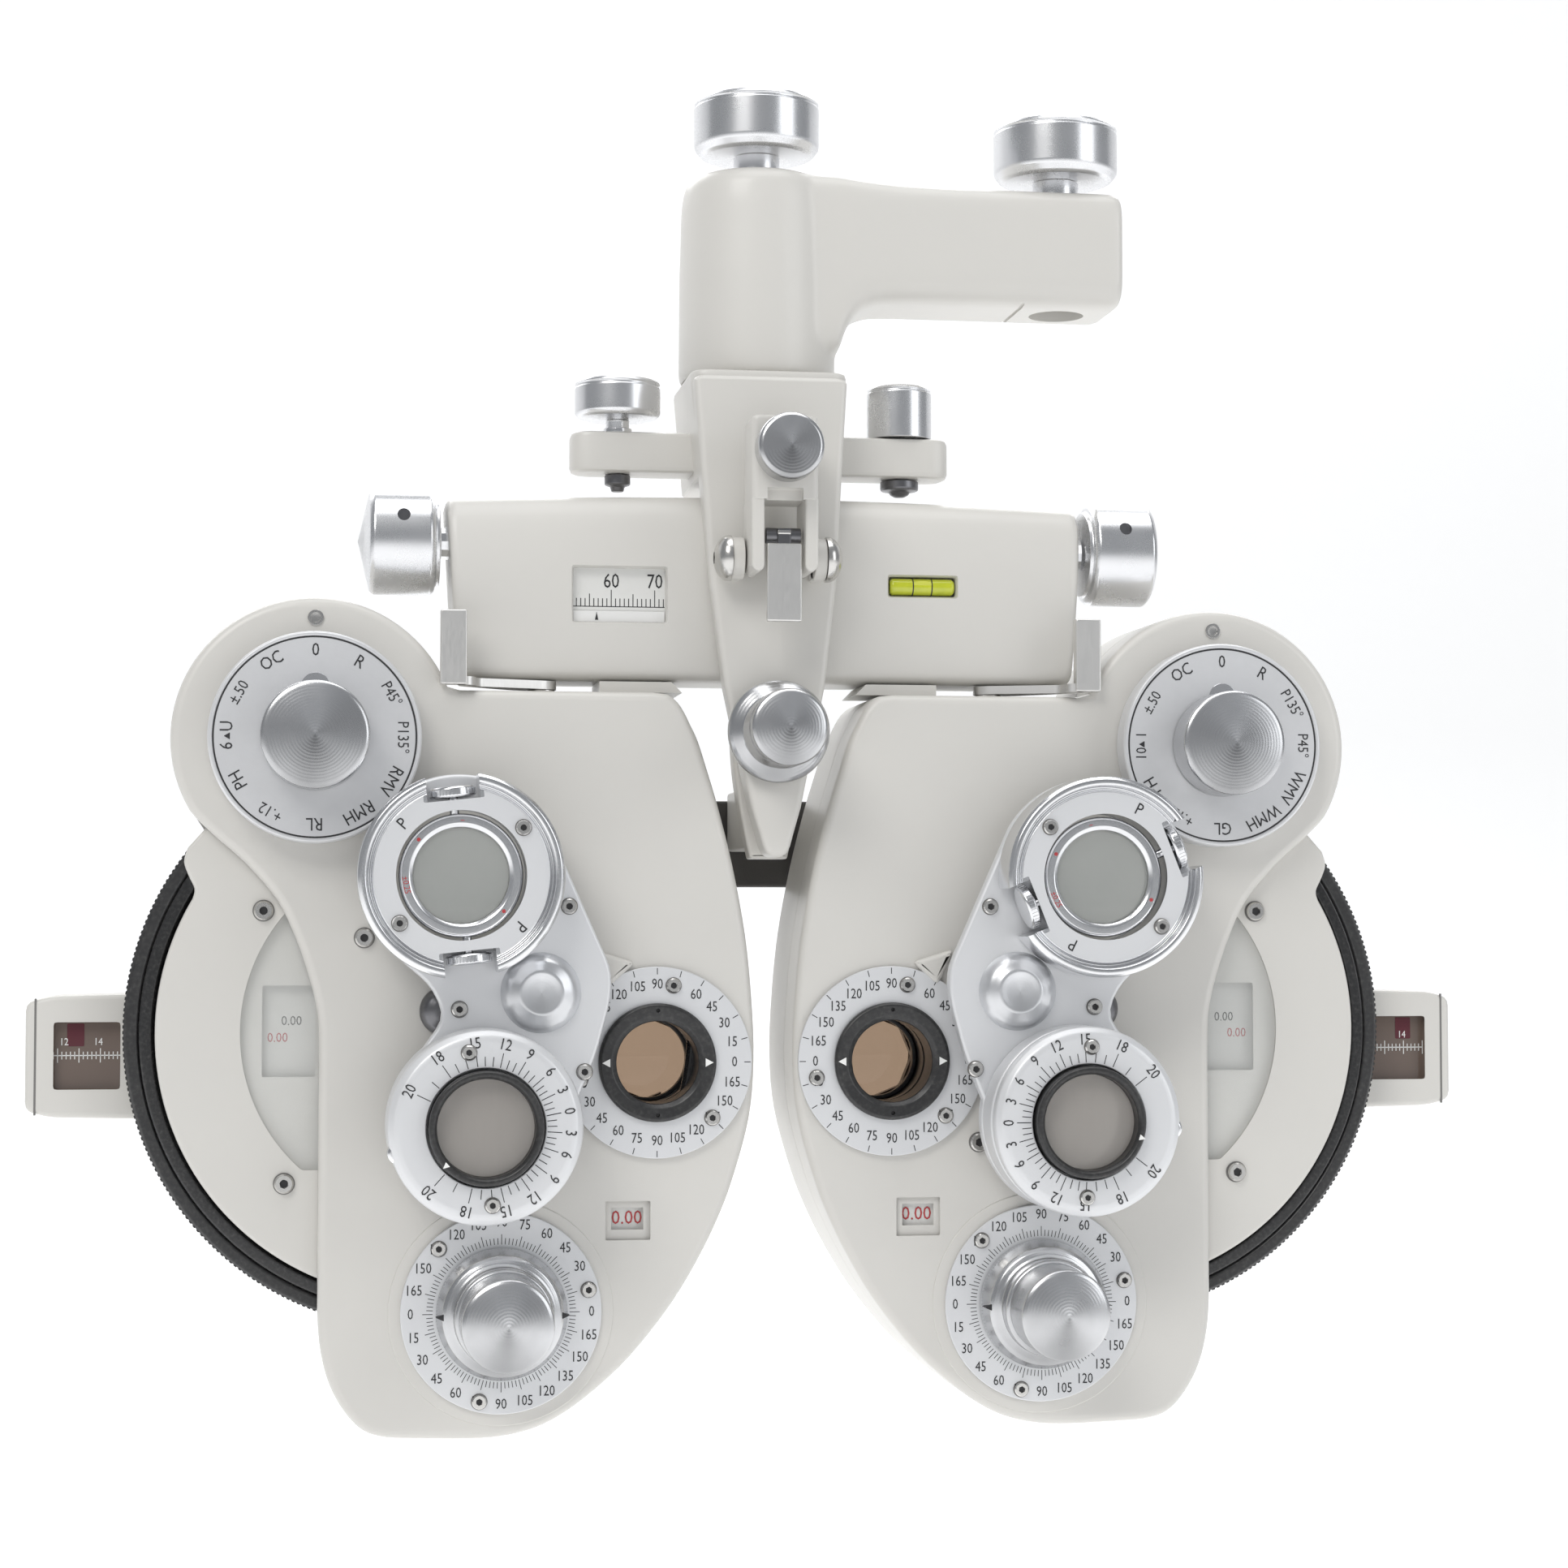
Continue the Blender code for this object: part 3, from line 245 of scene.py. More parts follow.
def brushedSteel(name, colour, roughness, stretch):
    look = Look(name, colour, roughness, 1.0)
    streak = look.noise(2.2, 3.0, stretch)
    cloud = look.noise(0.12, 2.0)
    look.tint(streak * 0.35 + cloud * 0.2, tuple(0.82 * c for c in colour))
    look.rough(roughness - 0.06 + streak * 0.14 + cloud * 0.06)
    look.bump(streak, 0.0015)
    return look.material


def turnedMetal(name, centre, along="Y", colour=(0.74, 0.745, 0.76), roughness=0.24, groove=0.007, paintedFan=0.85,
                metallic=1.0):
    # lathe marks run round the axis through centre as bump grooves; paintedFan paints highlight and shade
    # wedges round that axis into the colour
    look = Look(name, colour, roughness, metallic)
    centre = world(centre)
    radius = look.axisDistance(centre, along)
    wander = look.noise(0.35, 2.0)
    ring = (radius * 8.5 + wander * 1.5).sine() * 0.5 + (radius * 3.1).sine() * 0.2
    smudge = look.noise(0.16, 3.0)
    shade = smudge * 0.25
    # painted highlight and painted shade: lighter above the axis, darker below it, in wedges like
    # highlights on a turned cone; smudge adds random tone
    if along == "Y" and paintedFan:
        up = look.upward(centre, radius)
        wedge = up * up * up * 4.0 - up * 3.0
        across = look.away(centre)
        parts = look.node("ShaderNodeSeparateXYZ", None, {0: across.outputs[0]})
        slant = Signal(look, parts.outputs["X"]) / radius * up
        shade = shade + ((up * -0.62 - wedge * 0.30 + slant * 0.30) * 0.6 + 0.34) * paintedFan
    look.tint(shade, tuple(0.42 * c for c in colour))
    look.rough(roughness - 0.05 + smudge * 0.12)
    look.bump(ring, groove)
    return look.material


def blackPlastic(name="blackPlastic", roughness=0.36):
    look = Look(name, (0.018, 0.018, 0.019), roughness, Coat_Weight=0.1)
    dust = look.noise(1.1, 5.0)
    cloud = look.noise(0.09, 2.0)
    look.tint(dust ** 4.0 * 1.6, (0.085, 0.083, 0.080))
    look.rough(roughness - 0.08 + cloud * 0.18)
    look.bump(dust, 0.010)
    return look.material


def lensGlass(name, colour):
    # bends light hardly at all, so the room behind the battery shows through
    look = Look(name, colour, 0.02, 0.0, Transmission_Weight=1.0, IOR=1.08, Coat_Weight=0.3,
                Coat_Roughness=0.02)
    smear = look.noise(0.22, 3.0, (1.0, 1.0, 0.35))
    look.rough(0.01 + smear * 0.05)
    return look.material


def ink(name, colour, roughness=0.5):
    look = Look(name, colour, roughness)
    worn = look.noise(3.0, 2.0)
    look.tint(worn * 0.35, tuple(min(1.0, c * 1.6 + 0.01) for c in colour))
    return look.material


def paper(name, colour):
    look = Look(name, colour, 0.55)
    look.tint(look.noise(0.3, 2.0) * 0.4, tuple(c * 0.9 for c in colour))
    return look.material


ivory = ivoryPaint()
satin = satinSilver()
chrome = brushedSteel("chromeEdge", (0.80, 0.805, 0.82), 0.16, (1.0, 6.0, 1.0))
screwSteel = brushedSteel("screwSteel", (0.66, 0.65, 0.63), 0.20, (3.0, 1.0, 3.0))
darkSteel = brushedSteel("darkSteel", (0.20, 0.20, 0.21), 0.30, (1.0, 1.0, 5.0))
leverSteel = brushedSteel("leverSteel", (0.80, 0.79, 0.77), 0.34, (1.0, 1.0, 0.2))
black = blackPlastic()
blackGloss = blackPlastic("blackGloss", 0.16)
blackInk = ink("blackInk", (0.020, 0.020, 0.022))
redInk = ink("redInk", (0.42, 0.045, 0.05))
whiteInk = ink("whiteInk", (0.78, 0.78, 0.76))
cream = paper("scalePaper", (0.74, 0.74, 0.72))
print("materials made:", len(bpy.data.materials))


def brushedKnob(name):
    # a turned side with a fine even grain
    look = Look(name, (0.77, 0.775, 0.79), 0.25, 1.0)
    fine = look.noise(2.4, 3.0)
    cloud = look.noise(0.10, 2.0)
    look.tint(cloud * 0.35, (0.66, 0.665, 0.685))
    look.rough(0.20 + cloud * 0.10 + fine * 0.05)
    look.bump(fine, 0.003)
    return look.material


def seeThrough(name, colour, alpha, roughness=0.04):
    look = Look(name, colour, roughness, 0.0, Coat_Weight=0.5, Coat_Roughness=0.03)
    smear = look.noise(0.22, 3.0, (1.0, 1.0, 0.35))
    look.rough(roughness * 0.6 + smear * roughness * 1.5)
    look.feed(look.shader.inputs["Alpha"], alpha + smear * 0.06)
    return look.material


clearPane = seeThrough("clearPane", (0.80, 0.81, 0.79), 0.14)
frosted = seeThrough("frosted", (0.70, 0.69, 0.66), 0.96, 0.3)
clearLens = seeThrough("clearLens", (0.52, 0.54, 0.52), 0.34)
greyLens = seeThrough("greyLens", (0.46, 0.43, 0.40), 0.50)
brownLens = lensGlass("brownLens", (0.29, 0.205, 0.142))
smokedGlass = seeThrough("smokedGlass", (0.16, 0.12, 0.10), 0.92)
maroonGlass = seeThrough("maroonGlass", (0.11, 0.02, 0.03), 0.9)
bubbleGlass = seeThrough("bubbleGlass", (0.75, 0.78, 0.12), 0.75)
# dark ink for the seam line on the vertex case and for the painted shade round screw heads
seamLine = ink("seamLine", (0.16, 0.155, 0.15))
paperWhite = paper("paperWhite", (0.80, 0.80, 0.79))


def vialLook():
    look = Look("vialFluid", (0.62, 0.66, 0.03), 0.06, 0.0, Coat_Weight=0.8, Coat_Roughness=0.03)
    look.tint(look.noise(0.3, 2.0), (0.42, 0.48, 0.02))
    return look.material


def padLook():
    look = Look("padVinyl", (0.055, 0.052, 0.050), 0.5)
    grain = look.noise(1.4, 3.0)
    look.tint(look.noise(0.05, 2.0) * 0.6, (0.085, 0.080, 0.075))
    look.bump(grain, 0.05)
    return look.material


vialFluid = vialLook()
padVinyl = padLook()


# ---- shapes ----

def makePiece(name, points, faces, material, sharp=32):
    # points are in plan millimetres; the place is baked into the mesh
    data = bpy.data.meshes.new(name)
    data.from_pydata([world(p) for p in points], [], faces)
    solid = bmesh.new()
    solid.from_mesh(data)
    bmesh.ops.remove_doubles(solid, verts=solid.verts, dist=0.004 * mm)
    bmesh.ops.recalc_face_normals(solid, faces=solid.faces)
    solid.to_mesh(data)
    solid.free()
    data.materials.append(material)
    data.shade_smooth()
    data.set_sharp_from_angle(angle=math.radians(sharp))
    made = bpy.data.objects.new(name, data)
    bpy.context.scene.collection.objects.link(made)
    return made


def flatten(made, weighted=True):
    # bakes the modifiers of a piece into its mesh
    if weighted:
        weight = made.modifiers.new("weight", "WEIGHTED_NORMAL")
        weight.keep_sharp = True
    graph = bpy.context.evaluated_depsgraph_get()
    baked = bpy.data.meshes.new_from_object(made.evaluated_get(graph))
    made.modifiers.clear()
    made.data = baked
    return made


def settle(made, body, slotName, *nodes):
    # a finished piece moves with its body and stands for its CAD nodes
    flatten(made)
    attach(made, body)
    if nodes:
        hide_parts(*nodes)
    return made


def bore(target, *cutters):
    for cutter in cutters:
        modifier = target.modifiers.new("bore", "BOOLEAN")
        modifier.operation = "DIFFERENCE"
        modifier.solver = "EXACT"
        modifier.object = cutter
    flatten(target, weighted=False)
    for cutter in cutters:
        bpy.data.objects.remove(cutter)
    data = target.data
    data.shade_smooth()
    data.set_sharp_from_angle(angle=math.radians(32))
    return target


def merge(name, pieces):
    # several shells as one mesh
    whole = bmesh.new()
    data = bpy.data.meshes.new(name)
    for made in pieces:
        for slot in made.data.materials:
            if slot.name not in data.materials:
                data.materials.append(slot)
        start = len(whole.faces)
        whole.from_mesh(made.data)
        whole.faces.ensure_lookup_table()
        index = list(data.materials).index(made.data.materials[0])
        for face in whole.faces[start:]:
            face.material_index = index
    whole.to_mesh(data)
    whole.free()
    data.set_sharp_from_angle(angle=math.radians(32))
    for made in pieces:
        bpy.data.objects.remove(made)
    whole = bpy.data.objects.new(name, data)
    bpy.context.scene.collection.objects.link(whole)
    return whole


def soften(points, radius, closed=False, steps=3):
    # rounds the corners of a profile or an outline
    path = []
    count = len(points)
    for i, point in enumerate(points):
        point = Vector(point)
        if not closed and i in (0, count - 1):
            path.append(tuple(point))
            continue
        back = Vector(points[i - 1]) - point
        ahead = Vector(points[(i + 1) % count]) - point
        reach = min(radius, 0.45 * back.length, 0.45 * ahead.length)
        start = point + back.normalized() * reach
        end = point + ahead.normalized() * reach
        for k in range(steps + 1):
            t = k / steps
            path.append(tuple(start * (1 - t) ** 2 + point * 2 * t * (1 - t) + end * t * t))
    return path


def smoothPath(points, per=5):
    # a curve through the points, open at both ends
    path = []
    last = len(points) - 1
    for i in range(last):
        a, b = Vector(points[max(i - 1, 0)]), Vector(points[i])
        c, d = Vector(points[i + 1]), Vector(points[min(i + 2, last)])
        for k in range(per):
            t = k / per
            path.append(tuple(0.5 * (2 * b + (c - a) * t + (2 * a - 5 * b + 4 * c - d) * t * t
                                     + (3 * b - a - 3 * c + d) * t ** 3)))
    return path + [tuple(points[-1])]


def arc(centre, radius, start, end, steps):
    turns = [math.radians(start + (end - start) * i / steps) for i in range(steps + 1)]
    return [(centre[0] + radius * math.cos(t), centre[1] + radius * math.sin(t)) for t in turns]


def circle(centre, radius, steps=96):
    return arc(centre, radius, 0, 360 - 360 / steps, steps - 1)


def box2(lowX, lowZ, highX, highZ, radius=0.0):
    corners = drum(highX, lowZ, highZ, lowX)
    return soften(corners, radius, closed=True) if radius else corners


def polar(reach, angle):
    return reach * math.cos(math.radians(angle)), reach * math.sin(math.radians(angle))


def around(centre, reach, angle):
    # X and Z of a place round an axis that points at the examiner
    x, z = polar(reach, angle)
    return centre[0] + x, centre[2] + z


def flip(outline, side):
    return [(side * x, z) for x, z in outline]


def wound(outline):
    area = sum(a[0] * b[1] - b[0] * a[1] for a, b in zip(outline, outline[1:] + outline[:1]))
    return outline if area > 0 else outline[::-1]


def moved(outline, distance):
    # every point of an anticlockwise outline steps inward
    ring = []
    for before, here, after in zip(outline[-1:] + outline[:-1], outline, outline[1:] + outline[:1]):
        into = (Vector(here) - Vector(before)).normalized()
        out = (Vector(after) - Vector(here)).normalized()
        normal = Vector((-into.y - out.y, into.x + out.x)).normalized()
        stretch = max(0.6, normal.dot(Vector((-into.y, into.x))))
        ring.append(tuple(Vector(here) + normal * distance / stretch))
    return ring


def edge(front, back, frontRound, backRound=0.0, steps=4):
    # (inset, depth) pairs down the side of a plate
    way = 1 if back > front else -1
    pairs = []
    for k in range(steps + 1):
        t = math.radians(90 * k / steps)
        pairs.append((frontRound * (1 - math.sin(t)), front + way * frontRound * (1 - math.cos(t))))
    for k in range(steps + 1):
        t = math.radians(90 * k / steps)
        pairs.append((backRound * (1 - math.cos(t)), back - way * backRound * (1 - math.sin(t))))
    return pairs


def plate(name, outline, profile, material, holes=(), holeProfile=None):
    # an outline pushed back in Y along a profile of (inset, depth), with holes right through
    loops = [(wound(list(outline)), profile, 1)]
    for hole in holes:
        loops.append((wound(list(hole)), holeProfile, -1))
    points, faces, caps = [], [], ([], [])
    for outlineHere, pairs, sign in loops:
        rows = []
        for inset, depth in pairs:
            ring = moved(outlineHere, sign * inset)
            rows.append(range(len(points), len(points) + len(ring)))
            points += [(x, depth, z) for x, z in ring]
        for first, second in zip(rows, rows[1:]):
            count = len(first)
            for i in range(count):
                faces.append((first[i], first[(i + 1) % count], second[(i + 1) % count], second[i]))
        caps[0].append(rows[0])
        caps[1].append(rows[-1])
    for rings in caps:
        flat = [index for ring in rings for index in ring]
        outlines = [[Vector((points[i][0], points[i][2], 0)) for i in ring] for ring in rings]
        faces += [tuple(flat[i] for i in corner) for corner in tessellate_polygon(outlines)]
    return makePiece(name, points, faces, material)


def tray(name, outline, front, back, wall, rounding, material, holes=(), holeProfile=None):
    # a cover with a face and a side wall, open behind
    way = 1 if back > front else -1
    profile = edge(front, back, rounding) + [(wall, back), (wall, front + way * wall)]
    return plate(name, outline, profile, material, holes, holeProfile)


def lathe(name, profile, centre, material, along="Y", segments=96, closed=False, rounding=0.3):
    # (radius, place) pairs turned round an axis through centre; closed makes it a ring
    profile = soften(profile, rounding, closed) if rounding else profile
    points, rows = [], []
    for radius, place in profile:
        count = segments if radius > 0 else 1
        rows.append(range(len(points), len(points) + count))
        for i in range(count):
            a, b = radius * math.cos(math.tau * i / segments), radius * math.sin(math.tau * i / segments)
            spot = {"X": (place, a, b), "Y": (a, place, b), "Z": (a, b, place)}[along]
            points.append(Vector(centre) + Vector(spot))
    pairs = list(zip(rows, rows[1:])) + ([(rows[-1], rows[0])] if closed else [])
    faces = []
    for first, second in pairs:
        for i in range(segments):
            ring = (first[i % len(first)], first[(i + 1) % len(first)],
                    second[(i + 1) % len(second)], second[i % len(second)])
            ring = tuple(dict.fromkeys(ring))
            if len(ring) > 2:
                faces.append(ring)
    return makePiece(name, points, faces, material)


def drum(radius, near, far, inner=0):
    # the profile of a plain disc or ring
    return [(inner, near), (radius, near), (radius, far), (inner, far)]


def loft(name, rings, material, sharp=32):
    points, faces = [], []
    count = len(rings[0])
    for ring in rings:
        points += ring
    for r in range(len(rings) - 1):
        for i in range(count):
            a, b = r * count + i, r * count + (i + 1) % count
            faces.append((a, b, b + count, a + count))
    faces += [tuple(range(count)), tuple(range((len(rings) - 1) * count, len(rings) * count))]
    return makePiece(name, points, faces, material, sharp)


def block(name, low, high, material, rounding=0.4):
    outline = box2(low[0], low[2], high[0], high[2], rounding)
    return plate(name, outline, edge(low[1], high[1], min(rounding, 0.4), min(rounding, 0.4)), material)


def placed(made, turn, centre):
    # turns a piece about the depth axis through centre, in degrees
    home = world(centre)
    made.data.transform(Matrix.Translation(home) @ Matrix.Rotation(-math.radians(turn), 4, "Y")
                        @ Matrix.Translation(-home))
    return made


def arrows(centre, reach, angles, shape, profile, material):
    # small plates round an axis, each drawn as it points outward at the right
    tips = []
    for angle in angles:
        x, z = around(centre, reach, angle)
        tip = plate("tip", [(x + u, z + v) for u, v in shape], profile, material)
        tips.append(placed(tip, angle, (x, 0, z)))
    return tips


# ---- prints, ticks, screws ----

letters = {"size": 2.8, "narrow": 0.86, "raise": 0.05, "thick": 0.03, "capitals": 1.38}
smallScrew = (1.75, 1.1, 0.85)    # radius, height and socket in millimetres


def word(text, x, y, z, turn=0.0, size=None, ink=None, narrow=None, spread=1.0):
    # one line of lettering that stands on a face looking at the examiner
    data = bpy.data.curves.new(text, "FONT")
    data.body = text
    # the font's capitals are shorter than its size
    data.size = (size or letters["size"]) * letters["capitals"] * mm
    data.align_x = "CENTER"
    data.align_y = "CENTER"
    data.extrude = letters["thick"] / 2 * mm
    data.resolution_u = 2
    data.space_character = spread
    held = bpy.data.objects.new(text, data)
    bpy.context.scene.collection.objects.link(held)
    graph = bpy.context.evaluated_depsgraph_get()
    mesh = bpy.data.meshes.new_from_object(held.evaluated_get(graph))
    bpy.data.objects.remove(held)
    spot = world((x, y - letters["raise"], z))
    mesh.transform(Matrix.Translation(spot) @ Matrix.Rotation(-math.radians(turn), 4, "Y")
                   @ Matrix.Rotation(math.radians(90), 4, "X")
                   @ Matrix.Scale(narrow or letters["narrow"], 4, (1, 0, 0)))
    solid = bmesh.new()
    solid.from_mesh(mesh)
    bmesh.ops.remove_doubles(solid, verts=solid.verts, dist=0.002 * mm)
    bmesh.ops.recalc_face_normals(solid, faces=solid.faces)
    solid.to_mesh(mesh)
    solid.free()
    mesh.materials.clear()
    mesh.materials.append(ink or blackInk)
    made = bpy.data.objects.new("word", mesh)
    bpy.context.scene.collection.objects.link(made)
    return made


def geometryTree(name, inputs):
    # an empty Geometry Nodes tree with named inputs
    group = bpy.data.node_groups.new(name, "GeometryNodeTree")
    group.interface.new_socket("Geometry", in_out="OUTPUT", socket_type="NodeSocketGeometry")
    for label, kind in inputs:
        group.interface.new_socket(label, in_out="INPUT", socket_type="NodeSocket" + kind)
    tree = Tree(group)
    given = tree.node("NodeGroupInput")
    return tree, {label: given.outputs[label] for label, kind in inputs}


def finishTree(tree, instances, material):
    real = tree.node("GeometryNodeRealizeInstances", None, {0: instances})
    painted = tree.node("GeometryNodeSetMaterial", None,
                        {"Geometry": real.outputs[0], "Material": material})
    out = tree.node("NodeGroupOutput")
    tree.feed(out.inputs[0], painted.outputs[0])
    return tree.tree


def barsTree():
    # small bars set round an axis that points at the examiner
    tree, given = geometryTree("barsRound", (
        ("Count", "Int"), ("Start", "Float"), ("Step", "Float"), ("Radius", "Float"), ("Length", "Float"),
        ("Width", "Float"), ("Thick", "Float"), ("Every", "Int"), ("Longer", "Float"), ("Centre", "Vector"),
        ("Outward", "Float"), ("Material", "Material"),
    ))
    line = tree.node("GeometryNodeMeshLine", None, {"Count": given["Count"], "Offset": (0.0, 0.0, 0.0)})
    index = Signal(tree, tree.node("GeometryNodeInputIndex").outputs[0])
    value = {label: Signal(tree, given[label])
             for label in ("Start", "Step", "Radius", "Length", "Longer", "Every", "Outward")}
    turn = value["Start"] + index * value["Step"]
    isLong = 1.0 - index.modulo(value["Every"]).above(0.5)
    length = value["Length"] + isLong * value["Longer"]
    reach = value["Radius"] + length * 0.5 * value["Outward"]
    spot = tree.node("ShaderNodeCombineXYZ", None,
                     {0: turn.cosine() * reach, 1: 0.0, 2: turn.sine() * reach})
    offset = tree.node("ShaderNodeVectorMath", {"operation": "ADD"},
                       {0: spot.outputs[0], 1: given["Centre"]})
    points = tree.node("GeometryNodeSetPosition", None,
                       {"Geometry": line.outputs[0], "Position": offset.outputs[0]})
    bar = tree.node("GeometryNodeMeshCube", None, {"Size": (1.0, 1.0, 1.0)})
    spin = tree.node("ShaderNodeCombineXYZ", None, {0: 0.0, 1: -turn, 2: 0.0})
    size = tree.node("ShaderNodeCombineXYZ", None, {0: length, 1: given["Thick"], 2: given["Width"]})
    copies = tree.node("GeometryNodeInstanceOnPoints", None, {
        "Points": points.outputs[0], "Instance": bar.outputs[0], "Rotation": spin.outputs[0],
        "Scale": size.outputs[0]})
    return finishTree(tree, copies.outputs[0], given["Material"])


def screwsTree():
    # socket-head screws on the points of a mesh, facing the examiner
    tree, given = geometryTree("socketScrews", (
        ("Geometry", "Geometry"), ("Radius", "Float"), ("Height", "Float"), ("Socket", "Float"),
        ("Material", "Material"),
    ))
    radius, height, socket = (Signal(tree, given[label]) for label in ("Radius", "Height", "Socket"))
    head = tree.node("GeometryNodeMeshCone", None, {
        "Vertices": 28, "Radius Top": radius, "Radius Bottom": radius, "Depth": height * 0.72})
    rim = tree.node("GeometryNodeMeshCone", None, {
        "Vertices": 28, "Radius Top": radius * 0.84, "Radius Bottom": radius, "Depth": height * 0.28})
    lifted = tree.node("GeometryNodeTransform", None, {
        "Geometry": rim.outputs[0],
        "Translation": tree.node("ShaderNodeCombineXYZ", None, {2: height * 0.72}).outputs[0]})
    key = tree.node("GeometryNodeMeshCylinder", None, {"Vertices": 6, "Radius": socket, "Depth": height})
    sunk = tree.node("GeometryNodeTransform", None, {
        "Geometry": key.outputs[0],
        "Translation": tree.node("ShaderNodeCombineXYZ", None, {2: height * 0.9}).outputs[0]})
    joined = tree.node("GeometryNodeJoinGeometry")
    for solid in (head, lifted):
        drilled = tree.node("GeometryNodeMeshBoolean", {"operation": "DIFFERENCE", "solver": "EXACT"},
                            {0: solid.outputs[0], 1: sunk.outputs[0]})
        tree.feed(joined.inputs[0], drilled.outputs[0])
    spin = tree.node("FunctionNodeRandomValue", {"data_type": "FLOAT"}, {2: 0.0, 3: math.tau, "Seed": 7})
    twist = tree.node("ShaderNodeCombineXYZ", None, {0: math.radians(90), 1: 0.0, 2: 0.0})
    turned = tree.node("GeometryNodeInstanceOnPoints", None, {
        "Points": given["Geometry"], "Instance": joined.outputs[0], "Rotation": twist.outputs[0]})
    spun = tree.node("GeometryNodeRotateInstances", None, {
        "Instances": turned.outputs[0],
        "Rotation": tree.node("ShaderNodeCombineXYZ", None, {2: spin.outputs[1]}).outputs[0],
        "Local Space": True})
    return finishTree(tree, spun.outputs[0], given["Material"])


def studsTree():
    # short round studs on the points of a mesh, facing the examiner
    tree, given = geometryTree("flatStuds", (
        ("Geometry", "Geometry"), ("Radius", "Float"), ("Height", "Float"), ("Material", "Material"),
    ))
    radius, height = (Signal(tree, given[label]) for label in ("Radius", "Height"))
    stud = tree.node("GeometryNodeMeshCone", None, {
        "Vertices": 32, "Radius Top": radius, "Radius Bottom": radius, "Depth": height})
    facing = tree.node("ShaderNodeCombineXYZ", None, {0: math.radians(90)})
    copies = tree.node("GeometryNodeInstanceOnPoints", None, {
        "Points": given["Geometry"], "Instance": stud.outputs[0], "Rotation": facing.outputs[0]})
    return finishTree(tree, copies.outputs[0], given["Material"])


barsRound = barsTree()
socketScrews = screwsTree()
flatStuds = studsTree()


def grow(name, tree, values, points=()):
    # runs a Geometry Nodes tree on a few points and keeps the mesh
    data = bpy.data.meshes.new(name)
    data.from_pydata([world(p) for p in points], [], [])
    made = bpy.data.objects.new(name, data)
    bpy.context.scene.collection.objects.link(made)
    modifier = made.modifiers.new(name, "NODES")
    modifier.node_group = tree
    for item in tree.interface.items_tree:
        if item.in_out == "INPUT" and item.name in values:
            modifier[item.identifier] = values[item.name]
    flatten(made, weighted=False)
    made.data.materials.clear()
    made.data.materials.append(values["Material"])
    made.data.shade_smooth()
    made.data.set_sharp_from_angle(angle=math.radians(30))
    return made


def bars(count, start, step, radius, length, centre, width=0.22, thick=0.04, every=1000, longer=0.0,
         outward=1.0,
         material=None):
    return grow("bars", barsRound, {
        "Count": count, "Start": math.radians(start), "Step": math.radians(step), "Radius": radius * mm,
        "Length": length * mm, "Width": width * mm, "Thick": thick * mm, "Every": every,
        "Longer": longer * mm,
        "Centre": world(centre), "Outward": outward, "Material": material or blackInk})


def screws(points, radius=1.9, height=1.3, socket=0.95):
    # points are the seats of the heads
    heads = grow("screws", socketScrews, {
        "Radius": radius * mm, "Height": height * mm, "Socket": socket * mm, "Material": screwSteel},
                 points)
    # a dark ring just wider than each head: painted shade in the gap round the head
    rings = grow("rings", flatStuds, {
        "Radius": radius * 1.12 * mm, "Height": 0.16 * mm, "Material": seamLine}, points)
    # a black disc inside each hex socket: painted shade in the socket
    socketShade = grow("socketShade", flatStuds, {
        "Radius": socket * 0.84 * mm, "Height": height * 0.52 * mm, "Material": blackInk}, points)
    return merge("screws", [heads, rings, socketShade])


def fixScrews(name, body, points, *size):
    settle(screws(points, *size), body, "dark_steel").name = name


def screwRing(name, body, centre, reach, angles, depth, *size):
    points = []
    for angle in angles:
        x, z = around(centre, reach, angle)
        points.append((x, depth, z))
    fixScrews(name, body, points, *size)


def degreeNumbers(centre, reach, depth, hidden=()):
    # upright numbers every 15 degrees, each as a cylinder's axis is read
    made = []
    for i in range(24):
        if i not in hidden:
            x, z = around(centre, reach, 15 * i)
            made.append(word(str(15 * i % 180), x, depth, z, 0, 2.5, narrow=0.8))
    return made


# ---- outlines of a battery, given for the right one ----

eye = (28.4, -44.4)
lobe = {"centre": (109.5, 32.2), "radius": 33.6}
axle = (83.2, -37.0)
cover = {"top": 44.2, "temple": 108.1, "wall": 3.0, "depth": 15.0, "rounding": 2.2, "back": 44.0,
         "backRounding": 5.0}


def noseSide():
    points = [
        (20.4, 37.0), (18.3, 32.5), (15.9, 25.0), (13.5, 17.0), (9.9, 2.7), (6.8, -14.0), (5.2, -30.0),
        (4.7, -44.4),
        (5.9, -58.0), (9.9, -72.7), (13.7, -82.5), (18.3, -91.7), (23.8, -100.8), (30.3, -109.4),
        (37.0, -116.8),
        (44.6, -123.3), (50.5, -127.4), (56.4, -130.3), (63.5, -132.1), (71.8, -132.7), (85.9, -132.3),
        (92.5, -131.8),
        (97.2, -130.2), (101.0, -126.6), (104.2, -121.5), (106.3, -116.0), (107.6, -109.5),
        (cover["temple"], -103.0),
    ]
    corner = [(27.5, cover["top"] - 0.2), (25.4, 43.6), (23.2, 41.8), (21.7, 39.6)]
    return smoothPath(corner + points, 4)


def lobeArc(start):
    end = 180 - math.degrees(math.asin((cover["top"] - lobe["centre"][1]) / lobe["radius"]))
    flat = [(75.5, cover["top"]), (29.5, cover["top"])]
    return arc(lobe["centre"], lobe["radius"], start, end - 1.5, 56) + flat


def frontOutline():
    sweep = [
        (108.1, -60.0), (108.1, -40.0), (108.6, -32.0), (110.5, -24.0), (113.6, -15.0), (118.0, -5.9),
        (125.2, 2.6),
        (132.6, 9.2), (138.0, 14.4)]
    return noseSide() + smoothPath(sweep, 4)[:-1] + lobeArc(-30.5)


def backOutline():
    reach = 66.0
    start = -math.degrees(math.acos((cover["temple"] - axle[0]) / reach))
    return noseSide()[:-1] + arc(axle, reach, start, 41.5, 60) + lobeArc(-27.0)


